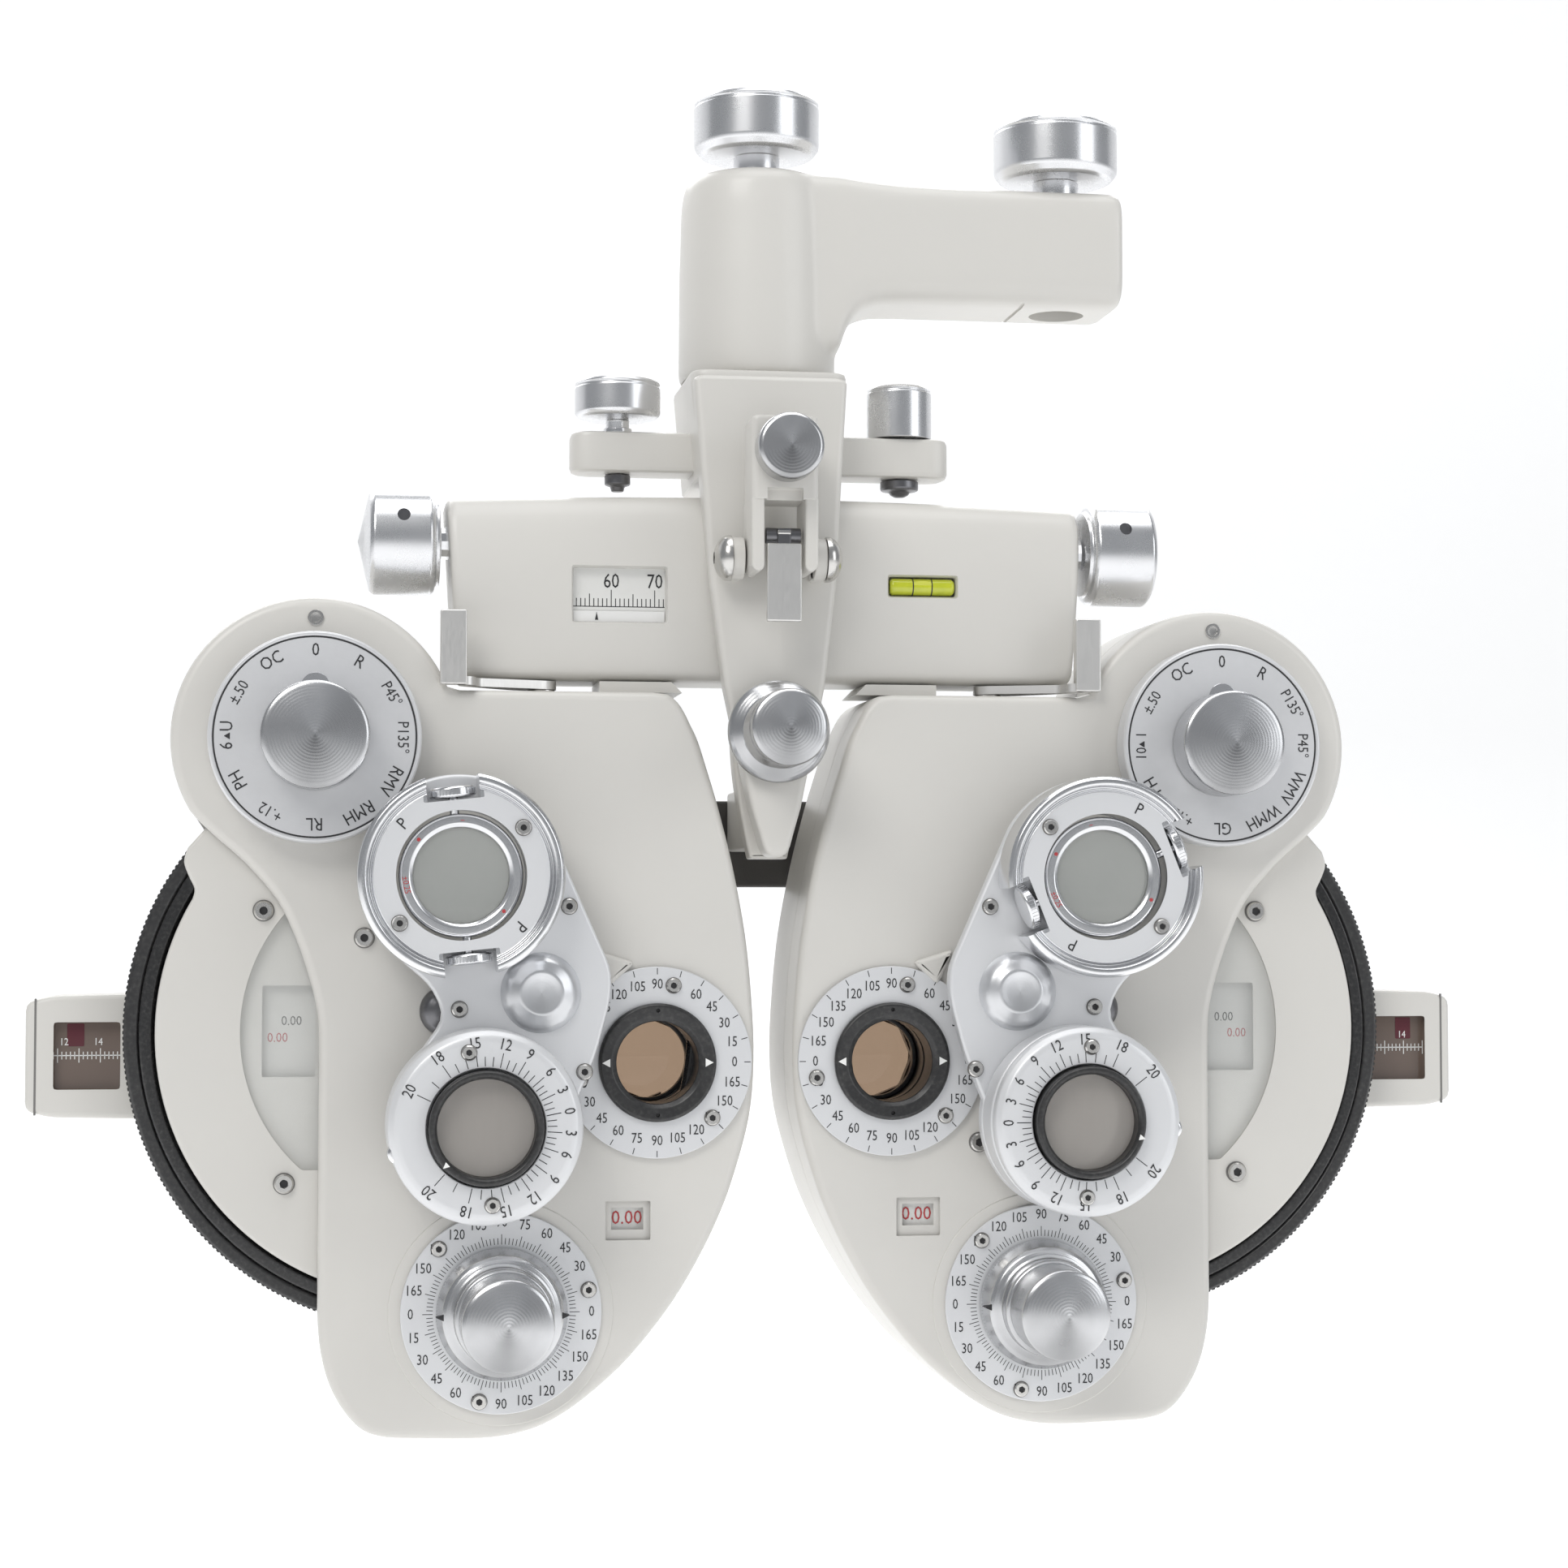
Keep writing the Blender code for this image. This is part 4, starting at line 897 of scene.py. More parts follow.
def crescent(shrink=0.0, radius=43.8):
    half = math.degrees(math.acos((cover["temple"] + 4.0 - axle[0]) / radius))
    curve = arc(axle, radius - shrink, -half, half, 40)
    inner = cover["temple"] - 4.5 + shrink
    return soften(curve + [(inner, curve[-1][1]), (inner, curve[0][1])], 1.2, closed=True)


def coverPieces(tag, side):
    unit = f"unit_{tag}"
    outline = flip(frontOutline(), side)
    window = {"inner": (30.7, -84.8, 39.8, -78.2), "pocket": (28.9, -87.4, 41.4, -76.4)}
    holes = [flip(circle(eye, 20.5), side), flip(box2(*window["pocket"], 1.2), side)]
    rim = [(-0.9, 0.0), (-0.35, 0.25), (0.0, 0.9), (0.0, cover["wall"])]
    face = tray(f"cover_{tag}", outline, 0.0, cover["depth"], cover["wall"], cover["rounding"], ivory,
                holes, rim)
    room = lathe("room", drum(71.0, 4.3, 17.0), (side * axle[0], 0, axle[1]), ivory,
                 rounding=0)
    bore(face, room)
    lip = edge(1.0, 2.6, 0.5)
    frameLip = plate("frameLip", flip(box2(*window["pocket"], 1.2), side), lip, ivory,
                     [flip(box2(*window["inner"], 0.8), side)], [(-0.7, 1.0), (0.0, 1.6), (0.0, 2.6)])
    settle(merge(f"cover_face_{tag}", [face, frameLip]), unit, "ivory_paint", f"front_cover_{tag}")

    low, high = window["inner"][:2], window["inner"][2:]
    numbers = plate(f"power_paper_{tag}",
                    flip(box2(low[0] - 0.6, low[1] - 0.6, high[0] + 0.6, high[1] + 0.6), side),
                    edge(2.65, 2.9, 0), cream)
    settle(numbers, unit, "ivory_paint")
    figure = word("0.00", side * 35.2, 2.6, -81.5, 0, 3.3, redInk, 0.95)
    figure.name = f"power_number_{tag}"
    settle(figure, unit, "black_dial")

    # soft raised fields on the face: round the axis dial and a wedge
    hump = plate("hump", flip(circle((65.2, -103.0), 26.6, 120), side), edge(-0.28, 0.3, 0.28), ivory)
    wedge = soften([(43.9, -17.5), (33.6, -20.6), (39.8, -26.4)], 1.6, closed=True)
    wedge = plate("wedge", flip(wedge, side), edge(-2.2, 0.3, 1.2), ivory)
    settle(merge(f"cover_fields_{tag}", [hump, wedge]), unit, "ivory_paint")

    hood = plate(f"cover_back_{tag}", flip(backOutline(), side),
                 edge(cover["back"], cover["depth"] + 0.3, cover["backRounding"], steps=6)
                 + [(cover["wall"], cover["depth"] + 0.3), (cover["wall"], cover["back"] - cover["wall"])],
                 ivory, [flip(circle(eye, 14.0), side)], [(-1.2, cover["back"]), (0, cover["back"] - 1.2),
                                                         (0, cover["back"] - cover["wall"])])
    settle(hood, unit, "ivory_paint", f"back_cover_{tag}")

    half = math.degrees(math.acos((cover["temple"] - 8 - axle[0]) / 63.0))
    shoulder = [(63.0, 30.0), (63.8, 32.0), (66.6, 33.6), (69.4, 35.4), (70.7, 38.0), (70.7, 45.0),
                (52.0, 50.0)]
    shoulder = [Vector(axle) + Vector(polar(*spot)) for spot in shoulder]
    rise = smoothPath([tuple(spot) for spot in shoulder[:5]], 4) + [tuple(spot) for spot in shoulder[5:]]
    outline = flip(arc(axle, 63.0, -half, 29.0,
                       70) + rise + [(axle[0] + 63.0 * math.cos(math.radians(half)), 5.0)], side)
    panel = plate(f"side_cover_{tag}_panel", outline, edge(4.6, 7.0, 0.9), ivory, [flip(crescent(), side)],
                  [(-0.5, 4.6), (0, 5.1), (0, 7.0)])
    settle(panel, unit, "ivory_paint", f"side_cover_{tag}")
    pane = plate(f"window_pane_{tag}", flip(crescent(0.3), side), edge(4.75, 6.6, 0.4), clearPane)
    settle(pane, unit, "clear_window", f"scale_window_{tag}")
    mask = plate(f"window_mask_{tag}", flip(crescent(-0.6), side), edge(7.05, 7.3, 0), frosted,
                 [flip(box2(108.9, -47.6, 121.4, -26.0, 0.6), side)], [(0, 7.05), (0, 7.3)])
    settle(mask, unit, "clear_window")

    heads = [(side * 121.2, 4.65, -8.3), (side * 116.0, 4.65, -72.5)]
    fixScrews(f"side_screws_{tag}", unit, heads, 2.3, 1.5, 1.15)
    heads = [(side * 50.1, 0.05, -64.2), (side * 97.7, 0.05, -14.7)]
    fixScrews(f"face_screws_{tag}", unit, heads, 2.2, 1.4, 1.1)
    post = lathe(f"stop_post_{tag}", [(0, -4.2), (2.4, -4.1), (4.4, -3.2), (5.6, -1.6), (5.8, 0.1),
                                      (0, 0.1)],
                 (side * 79.0, 0, -32.0), darkSteel, rounding=0.6)
    settle(post, unit, "dark_steel")
    peg = lathe(f"index_peg_{tag}", [(0, -0.1), (1.1, -0.1), (1.1, -0.4), (1.9, -0.4), (1.9, 0.05),
                                     (0, 0.05)],
                (side * lobe["centre"][0], 0, lobe["centre"][1] + 28.6), screwSteel, rounding=0.1,
                segments=40)
    settle(peg, unit, "dark_steel")


def sphereWheel(tag, side):
    # the knurled ring at the temple, with the power scale on its web
    body = f"sphere_dial_{tag}"
    low, high, centre, outer = roundNode(body)
    front, back = low.y, high.y
    web = front + 2.1
    rim = [
        (outer - 3.6, web), (outer - 3.4, front + 0.5), (outer - 2.9, front), (outer - 0.7, front),
        (outer, front + 0.8),
        (outer, back - 0.8), (outer - 0.7, back), (outer - 3.4, back), (outer - 3.4, web + 3.0),
    ]
    ring = lathe("ring", rim + [(6.0, web + 3.0), (6.0, web)], centre, black, segments=240, closed=True,
                 rounding=0.25)
    first = math.atan2(eye[1] - axle[1], eye[0] - axle[0])
    seatReach = math.hypot(eye[1] - axle[1], eye[0] - axle[0])
    seats = []
    for i in range(12):
        turn = first + math.tau * i / 12
        spot = (centre.x + side * seatReach * math.cos(turn), 0, centre.z + seatReach * math.sin(turn))
        seats.append(lathe("seat", drum(10, web - 1, web + 4), spot, black, segments=40, rounding=0))
    bore(ring, *seats)
    knurls = 330
    teeth = bars(knurls, 0, 360 / knurls, outer - 0.25, 0.45, (centre.x, (front + back) / 2, centre.z),
                 0.75,
                 back - front - 1.5, material=black)
    settle(merge(f"power_ring_{tag}", [ring, teeth]), body, "black_dial", body)
    gloss = lathe(f"power_ring_band_{tag}", [(outer - 7.2, front + 1.0), (outer - 6.4, front - 0.35),
                  (outer - 3.9, front - 0.35), (outer - 3.5, front + 0.2), (outer - 3.5, front + 2.0),
                  (outer - 7.2, front + 2.0)], centre, blackGloss, segments=200, closed=True)
    settle(gloss, body, "black_dial")
    sheet = lathe(f"power_sheet_{tag}", drum(44.0, web - 0.25, web - 0.05, 22.0),
                  centre, cream, segments=120, closed=True, rounding=0)
    settle(sheet, body, "ivory_paint")
    marks = []
    for i in range(12):
        for reach, colour, lift in ((31.4, blackInk, 4.6), (34.6, redInk, -2.4)):
            x, z = around(centre, reach, 30 * i + (lift if side > 0 else 180 - lift))
            marks.append(word(f"{i * 0.25:.2f}", x, web - 0.25, z, 0, 2.3, colour, 0.9))
    settle(merge(f"power_numbers_{tag}", marks), body, "black_dial")


def auxiliaryDial(tag):
    body = f"aux_dial_{tag}"
    low, _, centre, _ = roundNode(body)
    front = low.y
    face = front + 0.3
    profile = [
        (3.9, face), (23.3, face), (23.5, face + 0.3), (23.8, front), (24.4, front), (24.8, front + 0.6),
        (24.8, -1.2),
        (24.4, -0.3), (3.9, -0.3)]
    silver = turnedMetal(f"auxSilver_{tag}", centre, "Y", (0.78, 0.785, 0.80), 0.34, 0.002, 0.12, 0.45)
    dial = lathe(f"aux_dial_{tag}_face", profile, centre, silver, segments=160, closed=True, rounding=0.15)
    line = lathe("line", drum(23.65, face - 0.05, face + 0.2, 23.3),
                 centre, blackInk, segments=120, closed=True, rounding=0)
    settle(dial, body, "satin_silver", body)
    codes = {
        "left": ("0", "R", "P45°", "P135°", "RMV", "RMH", "RL", "+.12", "PH", "6△U", "±.50", "OC"),
        "right": ("0", "R", "P135°", "P45°", "WMV", "WMH", "GL", "+.12", "PH", "10△I", "±.50", "OC"),
    }
    marks = [line]
    for i, code in enumerate(codes[tag]):
        turn = 90 - 30 * i
        x, z = around(centre, 20.3, turn)
        size = 3.1 if len(code) < 4 else 2.7
        if "△" not in code:
            marks.append(word(code, x, face, z, turn - 90, size))
            continue
        # digits and a letter, with a small triangle between them
        across, down = polar(2.3, turn - 90)
        digits, last = code.split("△")
        marks.append(word(digits, x - across, face, z - down, turn - 90, size))
        marks.append(word(last, x + across, face, z + down, turn - 90, size))
        small = soften([(-0.8, -0.7), (0.8, -0.7), (0, 0.7)], 0.1, closed=True)
        tip = plate("tip", [(x + u, z + v) for u, v in small], edge(face - 0.08, face - 0.01, 0), blackInk)
        marks.append(placed(tip, turn - 90, (x, 0, z)))
    settle(merge(f"aux_codes_{tag}", marks), body, "black_dial")

    low, high, _, radius = roundNode(f"sphere_knob_{tag}")
    seat = front - 0.3
    cone = [(0, low.y), (radius - 0.9, low.y + 2.0), (radius - 0.15, low.y + 2.4), (radius, low.y + 3.0),
            (radius, seat), (0, seat)]
    cone = lathe(f"power_cone_{tag}", cone, centre, turnedMetal(f"coneMetal_{tag}", centre), segments=128)
    settle(cone, f"sphere_knob_{tag}", "turned_aluminium", f"sphere_knob_{tag}")
    index = lathe(f"power_pointer_{tag}", drum(3.4, front - 0.15, front + 0.6),
                  (centre.x, 0, centre.z + radius - 0.9), chrome, segments=48, rounding=0.2)
    settle(index, body, "turned_aluminium")


def aperture(tag):
    low, high, centre, outer = roundNode(f"aperture_plate_{tag}")
    unit = f"unit_{tag}"
    disc = lathe(f"aperture_scale_{tag}", drum(outer, low.y, high.y, 12.6), centre,
                 satin, segments=160, closed=True, rounding=0.3)
    settle(disc, unit, "satin_silver", f"aperture_plate_{tag}")
    marks = [bars(24, 0, 15, outer - 0.35, 1.5, (centre.x, low.y, centre.z), 0.2, outward=-1.0)]
    # the upper screw stands in the place of one number
    marks += degreeNumbers(centre, 18.6, low.y, hidden=(5,))
    settle(merge(f"aperture_numbers_{tag}", marks), unit, "black_dial")
    screwRing(f"aperture_screws_{tag}", unit, centre, 18.7, (78, -45, 192), low.y + 0.1, *smallScrew)

    low, high = span(f"aperture_ring_{tag}")
    ring = [
        (9.8, low.y + 1.1), (11.0, low.y + 0.2), (13.5, low.y), (14.1, low.y + 0.6), (14.1, low.y + 1.6),
        (12.1, low.y + 1.6),
        (12.1, high.y), (9.8, high.y)]
    ring = lathe(f"aperture_ring_{tag}_metal", ring, centre, black, segments=128, closed=True)
    cups = []
    for angle in (90, -90):
        x, z = around(centre, 12.4, angle)
        cups.append(lathe("cup", drum(0.5, low.y - 0.3, low.y + 1.0),
                          (x, 0, z), black, segments=24, rounding=0))
    bore(ring, *cups)
    settle(ring, f"aperture_ring_{tag}", "black_ring", f"aperture_ring_{tag}")
    tips = arrows(centre, 12.3, (0, 180), [(1.0, 0.0), (-0.9, 1.0), (-0.9, -1.0)],
                  edge(low.y, low.y + 0.09, 0),
                  whiteInk)
    settle(merge(f"aperture_arrows_{tag}", tips), f"aperture_ring_{tag}", "black_ring")
    tube = lathe(f"sight_tube_{tag}", drum(12.6, 14.0, 23.4, 10.6), centre, black,
                 segments=96, closed=True)
    settle(tube, unit, "black_ring")
    # the tinted glass that closes the back of the tube
    lens = lathe(f"trial_lens_{tag}", [(0, 20.9), (9.7, 21.5), (9.7, 22.8), (0, 23.2)], centre, brownLens,
                 segments=64,
                 rounding=0)
    settle(lens, unit, "clear_window")
    cell = lathe(f"trial_cell_{tag}", drum(10.5, 20.5, 23.4, 9.5), centre, black, segments=64,
                 closed=True)
    settle(cell, unit, "black_ring")


def axisDial(tag):
    unit = f"unit_{tag}"
    low, high, centre, outer = roundNode(f"axis_scale_{tag}")
    disc = lathe(f"axis_scale_{tag}_face", drum(outer, low.y, high.y, 4.0), centre,
                 satin, segments=160, closed=True, rounding=0.35)
    settle(disc, unit, "satin_silver", f"axis_scale_{tag}")
    marks = [bars(120, 0, 3, 16.1, 1.5, (centre.x, low.y, centre.z), 0.17, every=5, longer=0.9)]
    marks += degreeNumbers(centre, 21.3, low.y)
    settle(merge(f"axis_numbers_{tag}", marks), unit, "black_dial")
    screwRing(f"axis_screws_{tag}", unit, centre, 21.2, (14, 134, 256), low.y + 0.1, *smallScrew)

    low, high, _, radius = roundNode(f"axis_ring_{tag}")
    metal = turnedMetal(f"axisMetal_{tag}", centre)
    ring = [
        (4.0, low.y), (11.0, low.y), (11.6, low.y + 0.6), (11.6, high.y - 7.8), (12.2, high.y - 7.4),
        (13.4, high.y - 7.0),
        (14.2, high.y - 6.2), (radius, high.y - 3.0), (radius, high.y), (4.0, high.y)]
    ring = lathe(f"axis_ring_{tag}_metal", ring, centre, metal, segments=128, closed=True, rounding=0.35)
    settle(ring, f"axis_ring_{tag}", "turned_aluminium", f"axis_ring_{tag}")
    tips = arrows(centre, 14.1, (0, 180), [(1.5, 0.0), (-0.9, 1.1), (-0.9, -1.1)],
                  edge(high.y - 6.6, high.y - 3.6, 0.2), blackInk)
    settle(merge(f"axis_arrows_{tag}", tips), f"axis_ring_{tag}", "black_ring")

    seat = low.y - 0.3
    low, high, _, radius = roundNode(f"cylinder_knob_{tag}")
    knob = [
        (0, low.y), (radius - 1.0, low.y + 2.5), (radius - 0.2, low.y + 2.9), (radius, low.y + 3.5),
        (radius, seat - 0.5),
        (radius - 0.5, seat), (0, seat)]
    knob = lathe(f"cylinder_knob_{tag}_metal", knob, centre, metal, segments=128)
    settle(knob, f"cylinder_knob_{tag}", "turned_aluminium", f"cylinder_knob_{tag}")


# ---- turret: cross cylinder and rotary prism ----

pivot = (57.0, -27.5)
turretReach = math.hypot(pivot[0] - eye[0], pivot[1] - eye[1])
crossAngle, prismAngle = 55.0, -66.0


def turretOutline():
    upper = arc(polar(turretReach, crossAngle), 23.8, 150, -44, 60)
    lower = arc(polar(turretReach, prismAngle), 22.4, 52, -192, 70)
    corner = soften([upper[-1], (25.4, 1.6), (22.2, -5.6), lower[0]], 5.0)[1:-1]
    shoulder = soften([lower[-1], (-12.9, -15.0), (-16.4, -2.0), (-16.7, 5.2), upper[0]], 3.5)[1:-1]
    return upper + corner + lower + shoulder


def turretPlate(tag, side):
    body = f"turret_{tag}"
    hubTop = span(f"turret_plate_{tag}")[0].y
    front, back = hubTop + 3.8, hubTop + 7.2
    home = (side * pivot[0], 0, pivot[1])
    outline = [(home[0] + side * x, home[2] + z) for x, z in turretOutline()]
    holes = []
    for angle, radius in ((crossAngle, 15.5), (prismAngle, 12.0)):
        x, z = polar(turretReach, angle)
        holes.append(circle((home[0] + side * x, home[2] + z), radius))
    arms = plate("arms", outline, edge(front, back, 0.9, 0.3), satin, holes,
                 [(-0.2, front), (0, front + 0.2), (0, back)])
    hub = [
        (0, hubTop + 0.55), (3.2, hubTop + 0.35), (5.0, hubTop), (6.0, hubTop + 0.5), (7.6, hubTop + 1.2),
        (8.8, hubTop + 2.6),
        (9.5, hubTop + 3.9), (9.5, hubTop + 5.0), (8.6, hubTop + 6.5), (8.6, -0.3), (0, -0.3)]
    metal = turnedMetal(f"hubMetal_{tag}", home, "Y", (0.76, 0.77, 0.79), 0.3, 0.003, 0.3, 0.8)
    hub = lathe("hub", hub, home, metal, rounding=0.9, segments=112)
    settle(merge(f"turret_{tag}_arms", [arms, hub]), body, "satin_silver", f"turret_plate_{tag}")
    spots = ((-6.6, 20.2), (18.9, -3.8), (-10.3, -18.5))
    heads = [(home[0] + side * x, front + 0.1, home[2] + z) for x, z in spots]
    fixScrews(f"turret_screws_{tag}", body, heads, 1.8, 1.2, 0.9)


def slots(centre, turn, low, high):
    # cutters through a ring, at a turn and opposite it
    return [placed(block("slot", low, high, chrome), way, centre) for way in (turn, turn + 180)]


def crossCylinder(tag, side):
    low, high, centre, outer = roundNode(f"cross_ring_{tag}")
    front, back = low.y, high.y
    flipAxis = 21.5 if side > 0 else 96.0
    body = f"cross_ring_{tag}"
    profile = [
        (15.4, front + 1.6), (20.4, front + 1.5), (20.7, front + 2.2), (21.4, front + 2.2),
        (21.6, front + 0.4),
        (22.0, front), (23.0, front), (outer, front + 0.9), (outer, back - 0.8), (outer - 0.6, back),
        (15.4, back)]
    ring = lathe(f"cross_ring_{tag}_metal", profile, centre, chrome, segments=160, closed=True,
                 rounding=0.35)
    bore(ring, *slots(centre, flipAxis, (centre.x + 17.2, front - 2, centre.z - 6.1),
                      (centre.x + 26, back + 2, centre.z + 6.1)))
    settle(ring, body, "satin_silver", body)
    face = plate("face", circle((centre.x, centre.z), 20.2, 120), edge(front + 1.35, front + 1.75, 0.15),
                 satin,
                 [circle((centre.x, centre.z), 15.2)],
                 [(-0.2, front + 1.35), (0, front + 1.5), (0, front + 1.75)])
    bore(face, *slots(centre, flipAxis, (centre.x + 17.4, front - 2, centre.z - 7),
                      (centre.x + 26, front + 4, centre.z + 7)))
    face.name = f"cross_face_{tag}"
    settle(face, body, "satin_silver")
    letter, screw, dot = {"left": (139, 38, 140), "right": (63, 139, 155)}[tag]
    marks = []
    for turn in (letter, letter + 180):
        x, z = around(centre, 17.9, turn)
        marks.append(word("P", x, front + 1.35, z, turn - 90, 3.0))
    settle(merge(f"cross_letters_{tag}", marks), body, "black_dial")
    screwRing(f"cross_screws_{tag}", body, centre, 17.9, (screw, screw + 180), front + 1.4, *smallScrew)

    middleY = (front + back) / 2
    body = f"cross_cell_{tag}"
    half = [(11.1, 1.9), (12.0, 2.5), (13.7, 2.5), (14.3, 1.9)]
    shell = [(r, middleY - y) for r, y in half] + [(r, middleY + y) for r, y in reversed(half)]
    shell = lathe("shell", shell, centre, chrome, segments=128, closed=True, rounding=0.25)
    parts = [shell]
    for turn in (flipAxis, flipAxis + 180):
        wheel = [(0, 13.6), (1.1, 13.6), (1.1, 17.9), (4.9, 18.0), (5.4, 18.5), (5.4, 20.1), (4.9, 20.6),
                 (0, 20.6)]
        wheel = lathe("wheel", wheel, (0, 0, 0), chrome, along="X", segments=64, rounding=0.2)
        ridges = []
        for i in range(40):
            corners = [(reach * math.cos(math.tau * i / 40 + swing),
                        reach * math.sin(math.tau * i / 40 + swing))
                       for swing, reach in ((-0.045, 5.25), (-0.03, 5.52), (0.03, 5.52), (0.045, 5.25))]
            ridges.append(loft("ridge", [[(x, y, z) for y, z in corners] for x in (18.6, 20.0)], chrome))
        wheel = merge("wheel", [wheel, *ridges])
        wheel.data.transform(Matrix.Translation(Vector((centre.x, middleY, centre.z)) * mm))
        parts.append(placed(wheel, turn, (centre.x, middleY, centre.z)))
    settle(merge(f"cross_cell_{tag}_metal", parts), body, "turned_aluminium", f"cross_cell_{tag}")
    lens = [(0, middleY - 1.5), (11.0, middleY - 1.1), (11.0, middleY + 1.1), (0, middleY + 1.5)]
    lens = lathe(f"cross_lens_{tag}", lens, centre, clearLens, rounding=0)
    settle(lens, body, "clear_window")
    dots = []
    for turn in (dot, dot + 180):
        x, z = around(centre, 12.8, turn)
        dots.append(lathe("dot", drum(0.45, middleY - 2.62, middleY - 2.3), (x, 0, z), redInk, segments=16,
                          rounding=0))
    for turn, text in ((dot + 50, "±0.25"), (dot - 51, "−")):
        x, z = around(centre, 12.8, turn)
        dots.append(word(text, x, middleY - 2.52, z, turn + 90, 1.5, redInk))
    settle(merge(f"cross_red_{tag}", dots), body, "black_dial")


def rotaryPrism(tag, side):
    low, high, centre, outer = roundNode(f"prism_ring_{tag}")
    front, back = low.y, high.y
    body = f"prism_ring_{tag}"
    profile = [
        (13.6, front), (19.8, front), (20.9, front + 0.25), (outer - 0.2, front + 1.4),
        (outer, front + 2.4), (outer, front + 4.2),
        (outer - 1.1, front + 4.6), (outer - 1.1, front + 5.6), (outer, front + 6.0), (outer, back - 1.0),
        (outer - 0.8, back),
        (11.6, back), (11.6, front + 4.4), (13.6, front + 4.4)]
    ring = lathe("ring", profile, centre, satin, segments=160, closed=True, rounding=0.4)
    x, z = around(centre, outer - 1.9, 196 if side < 0 else -5)
    knob = lathe("knob", [(0, front + 1.2), (2.0, front + 1.2), (2.6, front + 1.8), (2.6, front + 6),
                          (0, front + 6)],
                 (x, 0, z), chrome, segments=40)
    settle(merge(f"prism_ring_{tag}_metal", [ring, knob]), body, "satin_silver", f"prism_ring_{tag}")
    # prism power and how far from zero it stands, with an even tick for each unit between
    zero = 11.0 if side < 0 else 180.0
    stops = ((0, 0.0), (3, 15.0), (6, 30.0), (9, 48.0), (12, 66.0), (15, 87.0), (18, 114.0), (20, 143.0))
    ticks = []
    for (value, angle), (nextValue, nextAngle) in zip(stops, stops[1:]):
        for k in range(nextValue - value):
            ticks.append((angle + (nextAngle - angle) * k / (nextValue - value), None if k else value))
    ticks.append((stops[-1][1], stops[-1][0]))
    marks = []
    for way in (1, -1):
        for angle, value in ticks:
            turn = zero + way * angle
            length = 2.2 if value is None else 3.4
            marks.append(bars(1, turn, 0, 14.0, length, (centre.x, front, centre.z), 0.2))
            if value is not None and not (angle == 0 and way < 0):
                x, z = around(centre, 19.3, turn)
                marks.append(word(str(value), x, front, z, turn - 90, 2.7, narrow=0.82))
    settle(merge(f"prism_numbers_{tag}", marks), body, "black_dial")
    screwRing(f"prism_screws_{tag}", body, centre, 17.6, (103, 275) if side < 0 else (88, 268), front + 0.1,
              1.7, 1.0, 0.8)

    low, high = span(f"prism_bezel_{tag}")
    body = f"prism_bezel_{tag}"
    bezel = lathe(f"prism_bezel_{tag}_ring",
                  [(11.2, low.y + 0.8), (11.9, low.y), (12.7, low.y), (13.1, low.y + 0.5),
                  (13.1, high.y), (11.2, high.y)], centre, black, segments=128, closed=True, rounding=0.25)
    settle(bezel, body, "black_ring", f"prism_bezel_{tag}")
    tip, = arrows(centre, 12.4, (222 if side < 0 else -17,), [(0.9, 0), (-0.6, 0.7), (-0.6, -0.7)],
                  edge(low.y - 0.08, low.y + 0.2, 0), whiteInk)
    tip.name = f"prism_arrow_{tag}"
    settle(tip, body, "black_ring")
    lens = lathe(f"prism_lens_{tag}", drum(11.1, low.y + 4.2, low.y + 6.4), centre,
                 greyLens, segments=96, rounding=0)
    settle(lens, body, "clear_window")


def vertexBox(tag, side):
    unit = f"unit_{tag}"
    low, high = span(f"vertex_box_{tag}")
    inner, end = (low.x, high.x) if side > 0 else (-high.x, -low.x)
    outline = soften([(inner, low.z), (end - 6, low.z + 0.5), (end, low.z + 2), (end, high.z - 2),
                      (end - 6, high.z - 0.5),
                      (inner, high.z)], 2.2, closed=True)
    window = box2(154, -51.6, 171.2, -34, 1.6)
    case = tray("case", flip(outline, side), low.y, high.y, 2.4, 1.2, ivory, [flip(window, side)],
                [(-0.8, low.y), (0, low.y + 0.8), (0, low.y + 2.4)])
    back = plate("back", flip(moved(wound(outline), 1.0), side), edge(high.y - 1.5, high.y, 0), ivory)
    cap = plate("cap", flip(box2(end - 2.6, low.z + 1.1, end - 2.1, high.z - 1.1), side),
                edge(low.y - 0.05, low.y + 0.3, 0), seamLine)
    settle(merge(f"vertex_case_{tag}", [case, back, cap]), unit, "ivory_paint", f"vertex_box_{tag}")
    glass = plate(f"vertex_glass_{tag}", flip(box2(153.2, -52.4, 172, -33.2, 0.8), side),
                  edge(low.y + 2.45, low.y + 3.2, 0),
                  smokedGlass)
    settle(glass, unit, "clear_window")
    middleX, middleZ = side * 162.6, -42.8
    marks = [bars(1, 0, 0, -8, 16.0, (middleX, low.y + 2.4, middleZ), 0.25, material=whiteInk)]
    for i in range(17):
        long = i % 5 == 1
        marks.append(bars(1, 90, 0, -0.9 - long * 0.8, 1.8 + long * 1.6,
                          (middleX - 8 + i, low.y + 2.4, middleZ), 0.2,
                          material=whiteInk))
    for text, x in (("12", -5.5), ("14", 2.5)):
        marks.append(word(text, middleX + x, low.y + 2.4, middleZ + 3.2, 0, 1.8, whiteInk))
    mirror = plate("mirror", flip(box2(163.4, -40.6, 167.4, -35.2, 0.3), side),
                   edge(low.y + 2.35, low.y + 2.44, 0), maroonGlass)
    settle(merge(f"vertex_marks_{tag}", marks), unit, "clear_window")
    mirror.name = f"vertex_mirror_{tag}"
    settle(mirror, unit, "clear_window")


# ---- bridge with the interpupillary drive ----

